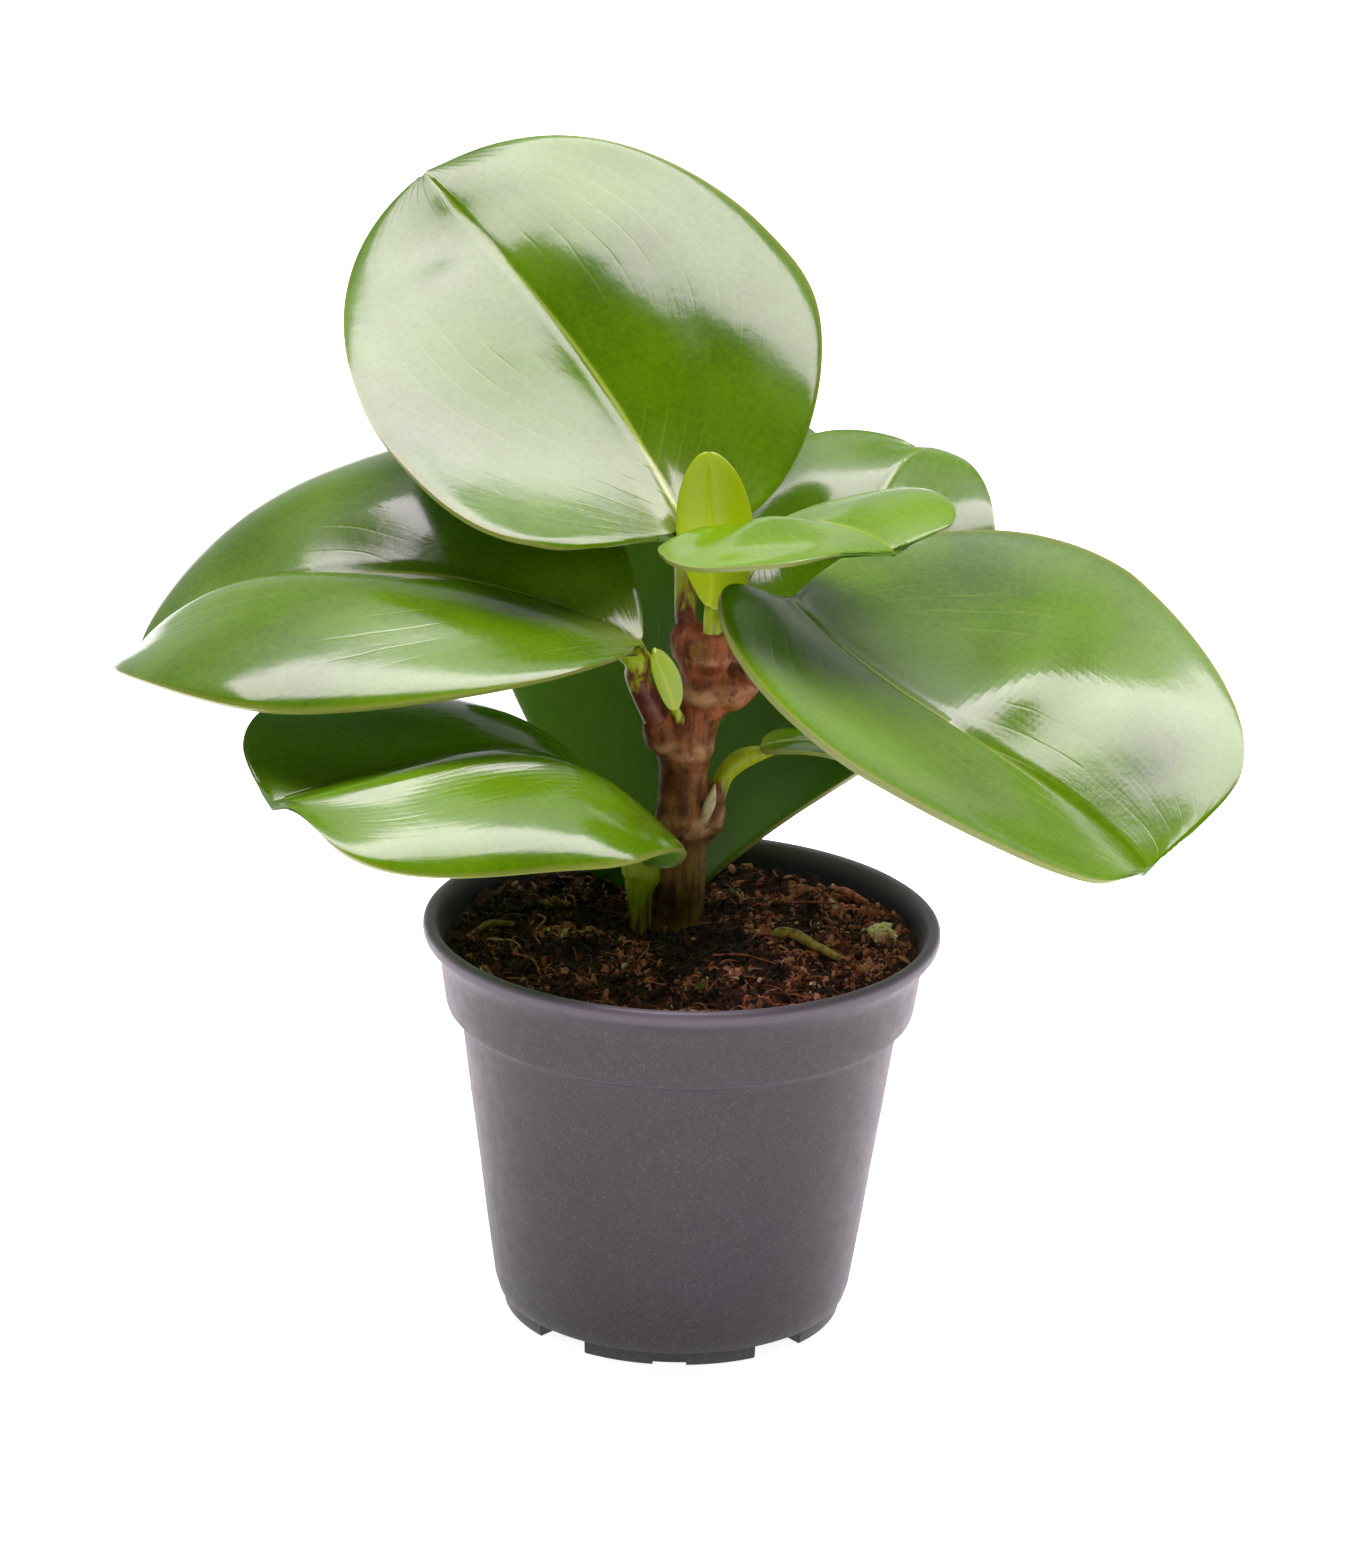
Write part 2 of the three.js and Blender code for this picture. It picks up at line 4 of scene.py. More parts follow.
import bmesh
import bpy
import numpy as np
from mathutils import Euler, Matrix, Vector, noise


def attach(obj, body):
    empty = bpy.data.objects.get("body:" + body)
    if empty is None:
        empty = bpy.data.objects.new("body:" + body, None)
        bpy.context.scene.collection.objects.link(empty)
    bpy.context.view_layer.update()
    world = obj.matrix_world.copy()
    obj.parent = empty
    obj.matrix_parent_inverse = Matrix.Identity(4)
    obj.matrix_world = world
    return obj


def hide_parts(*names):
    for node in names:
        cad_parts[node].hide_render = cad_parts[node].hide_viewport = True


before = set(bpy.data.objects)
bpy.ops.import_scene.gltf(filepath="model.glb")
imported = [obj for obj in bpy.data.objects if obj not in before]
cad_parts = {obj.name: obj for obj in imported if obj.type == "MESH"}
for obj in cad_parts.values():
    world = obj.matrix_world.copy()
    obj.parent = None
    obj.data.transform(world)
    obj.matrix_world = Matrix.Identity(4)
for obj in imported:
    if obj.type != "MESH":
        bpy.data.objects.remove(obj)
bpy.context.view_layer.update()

MM = 0.001


# Picking and finishing


def pick_only(*objects):
    bpy.ops.object.select_all(action="DESELECT")
    for obj in objects:
        obj.select_set(True)
    bpy.context.view_layer.objects.active = objects[0]


def begun(add, name, **settings):
    """What one of Blender's add operators makes, selected alone, under its name."""
    bpy.ops.object.select_all(action="DESELECT")
    add(**settings)
    obj = bpy.context.view_layer.objects.active
    obj.name = name
    return obj


def apply_modifier(obj, kind, **settings):
    pick_only(obj)
    modifier = obj.modifiers.new(kind.lower(), kind)
    for name, value in settings.items():
        setattr(modifier, name, value)
    bpy.ops.object.modifier_apply(modifier=modifier.name)


def joined(name, parts):
    """Several objects as one, under one name."""
    pick_only(*parts)
    if len(parts) > 1:
        bpy.ops.object.join()
    piece = bpy.context.view_layer.objects.active
    piece.name = name
    piece.data.name = name
    return piece


def settle(piece, slot, *nodes, finish=None):
    """Applies the piece's place and finish, and hides the CAD parts of the nodes it stands for."""
    if finish:
        piece.data.materials.append(MATERIALS[finish])
    pick_only(piece)
    bpy.ops.object.transform_apply(location=True, rotation=True, scale=True)
    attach(piece, "root")
    if nodes:
        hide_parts(*nodes)
    return piece


def smooth(obj, angle):
    pick_only(obj)
    bpy.ops.object.shade_smooth_by_angle(angle=math.radians(angle))


def set_attribute(obj, name, values):
    attribute = obj.data.attributes.new(name, "FLOAT", "POINT")
    attribute.data.foreach_set("value", np.asarray(values, np.float32))


def turned(name, profile, segments, facing_down=False):
    """A form turned about the pot's axis: a disc, extruded to each radius and height, and closed."""
    radius, height = profile[0]
    obj = begun(bpy.ops.mesh.primitive_circle_add, name, vertices=segments, radius=radius * MM,
                fill_type="NGON", location=(0, 0, height * MM))
    bpy.ops.object.transform_apply(location=True)
    bpy.ops.object.mode_set(mode="EDIT")
    bpy.ops.mesh.select_all(action="SELECT")
    if facing_down:
        bpy.ops.mesh.flip_normals()
    bpy.ops.mesh.select_mode(type="EDGE")
    for (r0, z0), (r1, z1) in zip(profile, profile[1:]):
        bpy.ops.mesh.extrude_edges_move(TRANSFORM_OT_translate={"value": (0, 0, (z1 - z0) * MM)})
        bpy.ops.transform.resize(value=(r1 / r0, r1 / r0, 1), center_override=(0, 0, z1 * MM))
    bpy.ops.mesh.edge_face_add()
    bpy.ops.mesh.select_all(action="SELECT")
    bpy.ops.mesh.normals_make_consistent(inside=False)
    bpy.ops.object.mode_set(mode="OBJECT")
    return obj


# Materials


def paint(code):
    """A colour written as six hex digits, as the shader's linear red, green, blue, alpha."""
    parts = [int(code[k:k + 2], 16) / 255 for k in (0, 2, 4)]
    linear = [c / 12.92 if c <= 0.04045 else ((c + 0.055) / 1.055) ** 2.4 for c in parts]
    return (*linear, 1.0)


def fill_ramp(ramp, stops, interpolation):
    """Gives a colour ramp its stops, each with its place and colour."""
    ramp.interpolation = interpolation
    while len(ramp.elements) < len(stops):
        ramp.elements.new(0.5)
    for element, (position, colour) in zip(ramp.elements, stops):
        element.position = position
        element.color = colour


class Nodes:
    """The nodes of a material or of the surroundings, built one at a time."""

    def __init__(self, owner):
        owner.use_nodes = True
        self.tree = owner.node_tree

    def put(self, socket, value):
        if isinstance(value, bpy.types.NodeSocket):
            self.tree.links.new(value, socket)
        else:
            socket.default_value = value

    def add(self, kind, inputs=None, **settings):
        node = self.tree.nodes.new(kind)
        for name, value in settings.items():
            setattr(node, name, value)
        for name, value in (inputs or {}).items():
            self.put(node.inputs[name], value)
        return node

    def sum(self, operation, a, b=0.0):
        return self.add("ShaderNodeMath", {0: a, 1: b}, operation=operation).outputs[0]


class Finish(Nodes):
    """A material. The scale of its noise is how many waves go into a metre."""

    def __init__(self, name):
        self.material = bpy.data.materials.new(name)
        super().__init__(self.material)
        self.shader = self.tree.nodes["Principled BSDF"]
        self.place = self.add("ShaderNodeTexCoord").outputs["Object"]

    def span(self, value, low, high, to_low=0.0, to_high=1.0):
        inputs = {"Value": value, "From Min": low, "From Max": high, "To Min": to_low, "To Max": to_high}
        return self.add("ShaderNodeMapRange", inputs, clamp=True).outputs[0]

    def mix(self, share, a, b):
        node = self.add("ShaderNodeMix", data_type="RGBA")
        colours = [s for s in node.inputs if s.type == "RGBA"]
        self.put(node.inputs[0], share)
        self.put(colours[0], a)
        self.put(colours[1], b)
        return [s for s in node.outputs if s.type == "RGBA"][0]

    def tint(self, colour, code, cover, most=1.0):
        """A colour with another laid over it where cover is high, at most as strongly as most."""
        share = cover if most == 1.0 else self.sum("MULTIPLY", cover, most)
        return self.mix(share, colour, paint(code))

    def noise(self, scale, detail=3.0, rough=0.5, place=None, warp=0.0):
        inputs = {"Vector": place or self.place, "Scale": scale, "Detail": detail,
                  "Roughness": rough, "Distortion": warp}
        return self.add("ShaderNodeTexNoise", inputs).outputs["Fac"]

    def patches(self, scale, detail, low, high, to_low=0.0, to_high=1.0, rough=0.5, place=None):
        """Noise that is cut off below low and above high, and spread between the two other values."""
        return self.span(self.noise(scale, detail, rough, place), low, high, to_low, to_high)

    def two_tone(self, share, dark, light):
        return self.mix(share, paint(dark), paint(light))

    def stretched(self, x, y, z, place=None):
        inputs = {"Vector": place or self.place, "Scale": (x, y, z)}
        return self.add("ShaderNodeMapping", inputs).outputs[0]

    def height(self):
        return self.add("ShaderNodeSeparateXYZ", {0: self.place}).outputs["Z"]

    def given(self, name):
        return self.add("ShaderNodeAttribute", attribute_name=name).outputs["Fac"]

    def bump(self, height, distance, strength=1.0, over=None):
        inputs = {"Height": height, "Distance": distance, "Strength": strength}
        if over is not None:
            inputs["Normal"] = over
        return self.add("ShaderNodeBump", inputs).outputs[0]

    def surface(self, **inputs):
        for name, value in inputs.items():
            self.put(self.shader.inputs[name.replace("_", " ")], value)
        return self.material


# Leaves: nearly the form of the solids, as finer skins.
# Each blade has its base and tip, the roll of its frame, its twist, the midrib's rise (arch) and bow
# (sway) at one and two thirds, both half widths, the fold of the halves, the extra bend at each
# margin (cup), how far each basal lobe reaches back and the tip notch reaches in, the shift of the
# widest place (wide), and how full the outline is towards base and tip. belly is how far each half
# swells between midrib and margin, and lift how far its margin stands up, at the base, the middle
# and the tip. dents are hollows and swells in the mesh, sheen swells in the finish alone, which turn
# the reflections, and shades are places painted darker or paler: painted shade, on the one blade that
# has them. Each of these has its place along and across, its length and breadth, and its height or
# how much paler it is. tone is how pale the whole blade is. petiole is the stalk's points with the
# radius there, keel where it ends under the midrib and how thick it is there, and brown the share of
# it that is brown. facing is the way that a blade faces where roll doesn't say it, and skin its finish.
LEAVES = {
    "leaf_top": dict(
        base=(-1.2, 11, 106.3), tip=(-38.5, 54.1, 144.5), roll=19, twist=26, arch=(0.7, 6.4),
        sway=(5.2, -1.2), half=(31.1, 34.9), fold=-3, cup=(1, 13), lobe=(0.1, -0.1), notch=0.005,
        wide=0.21, full=(0.8, 0.95),
        belly=((1.5, 0.5, -1), (0, 3.5, 0.5)), lift=((2.5, 2, -1.5), (3.5, -3, -2)),
        dents=(
            (0.25, -0.5, 0.25, 0.45, -0.2), (0.55, -0.25, 0.2, 0.3, 0.9), (0.85, -0.2, 0.1, 0.4, -0.9),
            (0.2, 0.4, 0.25, 0.5, -0.7), (0.4, 0.2, 0.2, 0.2, 1.1), (0.75, 0.85, 0.2, 0.6, -0.9),
            (0.45, 0.8, 0.2, 0.25, -0.4),
        ),
        petiole=(
            (0.1, 7.6, 91.6, 1.6), (-0.7, 9, 96, 1.5), (-0.9, 10.5, 101, 1.5), (-1.2, 11.1, 105.2, 1.7),
        ),
        keel=(0.14, 0.9), brown=0.4, skin="leaf",
    ),
    "leaf_young": dict(
        base=(2.4, 4.3, 98.5), tip=(1.8, 14.1, 117.2), roll=6, twist=-2, arch=(0, 0), sway=(1, -0.5),
        half=(4.5, 5.8), fold=8, cup=(-15, -40), lobe=(-0.05, 0.05), notch=0, wide=0, full=(1.1, 1.1),
        petiole=((3.2, 4.7, 91.6, 1.4), (3.1, 4.6, 94.6, 1.4), (2.8, 4.5, 97.6, 1.1)),
        keel=(0.25, 0.5), brown=0.35, skin="leaf_new",
    ),
    "leaf_small": dict(
        base=(9.1, 9.5, 107.1), tip=(26.4, -9.7, 111.2), roll=-5, twist=-2, arch=(1.4, 4.4),
        sway=(-1.8, -1.2), half=(14.4, 24.6), fold=18, cup=(-25, -30), lobe=(-0.03, 0.25), notch=0.01,
        wide=0, full=(0.85, 0.35),
        dents=(
            (0.35, -0.7, 0.1, 0.4, -0.1), (0.65, -0.5, 0.15, 0.25, -0.2), (0.1, 0.65, 0.1, 0.4, 1.3),
            (0.35, 0.3, 0.15, 0.25, 1.5), (0.5, 0.65, 0.2, 0.4, -0.9), (0.75, 0.5, 0.2, 0.5, -1.1),
        ),
        petiole=(
            (3.4, 9, 91.6, 1.4), (4.6, 10.8, 96.4, 1.3), (7.1, 12.1, 101.6, 1.3), (9, 10.8, 105.6, 1.3),
        ),
        keel=(0.16, 0.7), brown=0.4, tone=0.8, skin="leaf",
    ),
    "leaf_right": dict(
        base=(12.9, 4, 99.2), tip=(60.3, -24.8, 73.2), roll=10, twist=-14, arch=(-2.5, 3.7),
        sway=(1.1, 1.1), half=(41.2, 28.1), fold=22, cup=(15, -59), lobe=(0.15, 0.15), notch=0.005,
        wide=0.26, full=(1.3, 0.36),
        belly=((-1, 1.5, 3), (-2, -3, 0)), lift=((-0.5, -0.5, -1), (1.5, 2, 2.5)),
        sheen=(
            (0.85, 0.25, 0.2, 0.65, -1.1), (0.5, -0.4, 0.1, 0.3, 2.6), (0.9, 1.1, 0.3, 0.3, 1.8),
            (0.85, -0.3, 0.2, 0.5, -1.8), (0.35, -0.85, 0.4, 0.5, -2.4), (0.3, 0.8, 0.3, 0.4, -1.8),
            (0.8, -0.95, 0.3, 0.3, -0.9),
        ),
        petiole=(
            (5.6, 6.8, 86.2, 2), (8.2, 6, 88.8, 1.9), (10.9, 5.2, 93.4, 1.7), (12.5, 4.4, 97.9, 1.7),
        ),
        # Painted shade: the far half is darker near the base, under the leaves above, and darker again
        # near the tip.
        shades=((0.2, -0.6, 0.2, 0.5, -0.4), (0.85, -0.35, 0.1, 0.3, -0.5)),
        keel=(0.14, 0.9), brown=0.8, tone=0.62, skin="leaf",
    ),
    "leaf_back_right": dict(
        base=(7.6, 24.4, 88.8), tip=(32.9, 50.1, 107.8), roll=-22, twist=37, arch=(-8.2, 10.2),
        sway=(9.6, -2.5), half=(22.2, 21.6), fold=17, cup=(-42, -31), lobe=(0.05, 0.06), notch=0.01,
        wide=0.14, full=(0.85, 1.05),
        belly=((1, 0.5, -1), (0, -1.5, -1)), lift=((0, 0, 0), (0, 0.5, 0.5)),
        dents=(
            (0.45, 0.85, 0.3, 0.35, 1.4), (0.75, -0.1, 0.15, 0.6, -1), (0.9, -0.55, 0.15, 0.4, -1.1),
            (0.3, 0.4, 0.3, 0.3, 0.3), (0.05, -0.45, 0.15, 0.4, 0.5), (0.15, 0.55, 0.15, 0.4, 0.3),
        ),
        sheen=((0.55, 0.6, 0.3, 0.6, 0.9),),
        petiole=(
            (4.2, 11, 86.4, 1.6), (5.4, 14.5, 87.2, 1.5), (6.8, 19, 88.3, 1.5), (7.4, 22.6, 88.8, 1.5),
        ),
        keel=(0.16, 0.8), brown=0.5, tone=0.45, skin="leaf",
    ),
    "leaf_left": dict(
        base=(-6.9, 3, 93.1), tip=(-75.9, 25.1, 81.3), roll=16, twist=-17, arch=(13.6, 16.9),
        sway=(3.9, 4.9), half=(34.5, 32.9), fold=27, cup=(-62, -52), lobe=(0.03, -0.05), notch=0.02,
        wide=-0.09, full=(1.25, 1.25),
        belly=((0.5, 0, -0.5), (-1, 1.5, -0.5)), lift=((3, 2.5, 0), (3, 1, -3)),
        dents=(
            (0.85, 0.5, 0.2, 0.25, 0.6), (0.35, -0.65, 0.25, 0.25, -1), (0.6, 0.65, 0.1, 0.45, -0.6),
            (0.85, -0.6, 0.2, 0.3, -0.6), (0.55, 0.1, 0.2, 0.3, -1.5), (0.75, -0.15, 0.25, 0.2, 1.7),
        ),
        petiole=(
            (-2.9, 7, 79.2, 1.8), (-4.9, 5.6, 83.6, 1.8), (-6.9, 4.2, 88.4, 1.7), (-7.5, 3.1, 91.9, 1.8),
        ),
        keel=(0.14, 0.9), brown=0.6, tone=0.45, skin="leaf",
    ),
    "leaf_low_left": dict(
        base=(-6, 6, 61.9), tip=(-54.4, -20.8, 77.5), roll=-1, twist=22, arch=(21.9, 7.5),
        sway=(2.9, -0.7), half=(31.9, 21.9), fold=28, cup=(-88, -55), lobe=(-0.03, 0.25), notch=0.01,
        wide=0.13, full=(0.8, 0.4),
        belly=((-5, -1, 1), (0.5, 0.5, -2)), lift=((5.5, 2, 1.5), (-1.5, 1, 8)),
        sheen=(
            (0.85, 0.7, 0.15, 0.6, 0.3), (0.55, -0.65, 0.35, 0.25, -1.6), (0.7, 0.7, 0.4, 0.6, 0.7),
            (0.6, -0.4, 0.15, 0.2, -1.8), (0.45, 0.65, 0.25, 0.55, 0.6), (0.55, -0.3, 0.5, 0.15, 1.8),
            (0.25, 0.65, 0.15, 0.3, -2.2), (1.1, -0.45, 0.3, 0.8, -1.3),
        ),
        petiole=(
            (-5.6, 4.9, 46, 1.3), (-5.6, 4.9, 52, 1.4), (-5.9, 5.2, 57.5, 1.9), (-5.8, 5.6, 60.8, 2.7),
        ),
        keel=(0.1, 0.9), brown=0.3, tone=0.6, skin="leaf",
    ),
    "leaf_back": dict(
        base=(1, 14, 54), tip=(17.5, 59.5, 107.6), roll=-1, twist=-45, arch=(-3, 8), sway=(-7, -1),
        half=(33.5, 30.5), fold=16, cup=(-9, -31), lobe=(-0.11, -0.03), notch=0.02, wide=-0.03,
        full=(1.05, 0.85),
        petiole=((0.8, 14, 45.5, 1.6), (0.8, 14, 50, 1.6), (1, 14, 53.4, 1.6)),
        keel=(0.16, 0.9), brown=0.1, skin="leaf_dark",
    ),
    "leaf_hidden": dict(
        base=(10.3, 8.5, 77.2), tip=(24.6, 8, 75), roll=0, twist=0, arch=(2.5, 3), sway=(0, 0),
        half=(7, 4), fold=12, cup=(-20, -20), lobe=(0.04, 0.04), notch=0.01, wide=0,
        full=(0.9, 0.85),
        petiole=((2.8, 8.2, 66.6, 1.4), (4.2, 8.3, 71, 1.4), (5.4, 8.3, 73.8, 1.3), (7.9, 8.5, 76, 1.4)),
        keel=(0.18, 0.7), brown=0.3, tone=0.9, skin="leaf",
    ),
    "leaf_axil": dict(
        base=(-2, 2.6, 84.6), tip=(-4.7, 0.9, 93.4), roll=0, twist=10, arch=(-0.6, -0.4),
        sway=(0.5, 0.3), half=(1.5, 1.9), fold=10, cup=(-10, -10), lobe=(0, 0), notch=0, wide=0,
        full=(1, 1),
        petiole=((-0.9, 5.8, 81.6, 0.9), (-1.5, 3.9, 83.4, 0.8)),
        keel=(0.3, 0.4), facing=(0.1, -1, 0.2), brown=0.5, skin="leaf_new",
    ),
}
FLAT = ((0, 0, 0), (0, 0, 0))
USUAL_TONE = 0.4
BLADE_ROWS = 96
BLADE_COLUMNS = 60
# Thickness at the midrib and at the margin, and the rib that stands out below near the base.
THICKNESS = 1.3
MARGIN = 0.9
RIB = dict(height=1.1, breadth=2.2, fade=16)
# A blade under this length has a coarser grid, and only these shares of the thickness and the rib.
SMALL_BLADE = 30
SMALL_THICKNESS = 0.75
SMALL_RIB = 0.4
# Relief of the upper side. A blade shorter than FULL_RELIEF has it weaker in proportion.
FULL_RELIEF = 60
GROOVE_DEPTH = 0.05
GROOVE_WIDTH = 0.65
VEIN_SPACING = 0.12
VEIN_LEAN = 0.87
VEIN_SWELL = 0.006
WAVE_HEIGHT = 0.04
WAVE_LENGTH = 7
MARGIN_CURL = 0.18
MARGIN_WIDTH = 2.2
MARGIN_ROUNDING = 0.26
# How far the end of a petiole lies under the midrib, and how thin it is there, in its keel's radii.
KEEL_SINK = 0.55
KEEL_END = 0.6
# Finish of the blades: the line over the midrib, the warm base and the brownish line at the margin.
MIDRIB_LINE = (0.15, 0.55)
WARM_BASE = dict(across=9, share=0.25, most=0.3)
EDGE_LINE = dict(start=0.975, most=0.55, colour="8f8a48")
STREAK_DEPTH = 0.009
WRINKLE_DEPTH = 0.02
VEIN_LINE_DEPTH = 0.012


def unit(v):
    return v / np.linalg.norm(v, axis=-1, keepdims=True)


def along_blade(values, u):
    """A value along the blade, from its values at the base, the middle and the tip."""
    base, middle, tip = values
    return base * (1 - u) * (1 - 2 * u) + middle * 4 * u * (1 - u) + tip * u * (2 * u - 1)


class Blade:
    """The middle surface of a leaf blade, as a formula of the flat place on it, x along and y across."""

    def __init__(self, leaf):
        self.leaf = leaf
        base, tip = np.array(leaf["base"], float), np.array(leaf["tip"], float)
        chord = tip - base
        span = np.linalg.norm(chord)
        chord = chord / span
        level = unit(np.cross(chord, (0, 0, 1)))
        above = np.cross(level, chord)
        roll = math.radians(leaf["roll"])
        side = level * math.cos(roll) + above * math.sin(roll)
        up = above * math.cos(roll) - level * math.sin(roll)
        if "facing" in leaf:
            facing = np.array(leaf["facing"], float)
            up = unit(facing - chord * facing.dot(chord))
            side = np.cross(chord, up)
        self.side, self.up = side, up
        thirds = []
        for n, (arch, sway) in enumerate(zip(leaf["arch"], leaf["sway"])):
            thirds.append(base + chord * span * (n + 1) / 3 + up * arch + side * sway)
        self.curve = np.array([base, *thirds, tip])
        self.steps = np.linspace(0, 1, 201)
        points = self.bezier(self.steps)
        lengths = np.linalg.norm(np.diff(points, axis=0), axis=1)
        self.travel = np.concatenate([[0], np.cumsum(lengths)])
        self.length = self.travel[-1]

    def bezier(self, t):
        t = np.asarray(t)[..., None]
        a, b, c, d = self.curve
        return (1 - t) ** 3 * a + 3 * (1 - t) ** 2 * t * b + 3 * (1 - t) * t ** 2 * c + t ** 3 * d

    def slope(self, t):
        t = np.asarray(t)[..., None]
        a, b, c, d = self.curve
        return unit((1 - t) ** 2 * (b - a) + 2 * (1 - t) * t * (c - b) + t ** 2 * (d - c))

    def at(self, x, y):
        leaf = self.leaf
        inside = np.clip(x, 0, self.length)
        t = np.interp(inside, self.travel, self.steps)
        along = self.slope(t)
        place = self.bezier(t) + along * (x - inside)[..., None]
        turn = (math.radians(leaf["twist"]) * (inside / self.length - 0.5))[..., None]
        across = self.side * np.cos(turn) + self.up * np.sin(turn)
        across = unit(across - along * (across * along).sum(-1, keepdims=True))
        normal = np.cross(across, along)
        fold = math.radians(leaf["fold"])
        out, rise = np.zeros_like(y), np.zeros_like(y)
        for s, half in enumerate(leaf["half"]):
            here = y < 0 if s == 0 else y >= 0
            bend = math.radians(leaf["cup"][s]) / half
            wide = np.abs(y[here])
            share, u = wide / half, (inside / self.length)[here]
            if abs(bend) > 1e-6:
                out[here] = (np.sin(fold + bend * wide) - math.sin(fold)) / bend
                rise[here] = (math.cos(fold) - np.cos(fold + bend * wide)) / bend
            else:
                out[here], rise[here] = wide * math.cos(fold), wide * math.sin(fold)
            swell = 4 * share * (1 - share) * along_blade(leaf.get("belly", FLAT)[s], u)
            swell = swell + share ** 2 * along_blade(leaf.get("lift", FLAT)[s], u)
            out[here] -= swell * np.sin(fold + bend * wide)
            rise[here] += swell * np.cos(fold + bend * wide)
        out = np.where(y < 0, -out, out)
        return place + across * out[..., None] + normal * rise[..., None]

    def normal(self, x, y, step=0.4):
        dx = self.at(x + step, y) - self.at(x - step, y)
        dy = self.at(x, y + step) - self.at(x, y - step)
        return unit(np.cross(dy, dx))

    def flat(self, w, s):
        """The flat place for the angle w from base to tip, and the share s from midrib to margin."""
        leaf = self.leaf
        side = (s > 0).astype(int)
        lobe = np.array(leaf["lobe"])[side]
        half = np.array(leaf["half"])[side]
        full = np.where(w < math.pi / 2, *leaf["full"])
        back = lobe * np.where(w < math.pi / 2, np.clip(np.sin(2 * w), 0, 1) ** 1.5, 0)
        notch = leaf["notch"] * np.exp(-(((math.pi - w) / 0.22) ** 2))
        edge = 0.5 - 0.5 * np.cos(w) - back - notch
        middle = (0.5 - 0.5 * np.cos(w)) * (1 - leaf["notch"])
        breadth = np.clip(np.sin(w), 0, 1) ** full * (1 + leaf["wide"] * np.cos(w))
        share = np.abs(s)
        return (middle * (1 - share) + edge * share) * self.length, s * breadth * half


def veins(u, share):
    """Counts the veins that leave the midrib and bow towards the tip. A vein keeps its count."""
    return (share + VEIN_LEAN * np.clip(1 - u, 0, 1.2) ** 3) / VEIN_SPACING


def swells(spots, u, s):
    """Soft hollows and swells, each with its place, reach and height, on a blade's plain form."""
    rise = np.zeros_like(u)
    for along, across, length, breadth, height in spots:
        rise += height * np.exp(-(((u - along) / length) ** 2) - ((s - across) / breadth) ** 2)
    return rise


def relief(blade, x, y, w, s):
    """What the plain form leaves out: midrib groove, veins, dents, soft waves and the rolled margin."""
    leaf = blade.leaf
    size = min(1.0, blade.length / FULL_RELIEF)
    u, share = 0.5 - 0.5 * np.cos(w), np.abs(s)
    away = np.clip(np.sin(w) * 4, 0, 1)
    fade = np.clip(1.1 - x / blade.length, 0, 1)
    groove = -GROOVE_DEPTH * np.exp(-((y / (GROOVE_WIDTH * size)) ** 2)) * fade
    pillow = VEIN_SWELL * np.cos(2 * math.pi * veins(u, share)) * np.clip(share * 4, 0, 1)
    seed = Vector((sum(leaf["tip"]), 0, 0))
    spots = [Vector((a / WAVE_LENGTH, b / WAVE_LENGTH, 0)) for a, b in zip(x.flat, y.flat)]
    waves = np.array([noise.noise(spot + seed) for spot in spots])
    soft = WAVE_HEIGHT * waves.reshape(x.shape)
    inner = np.abs(y) / np.maximum(share, 1e-6) * (1 - share)
    curl = -MARGIN_CURL * np.clip(1 - inner / (MARGIN_WIDTH * size), 0, 1) ** 2
    rise = (groove + (pillow + soft + curl) * size) * away
    return rise + swells(leaf.get("dents", ()), u, s)


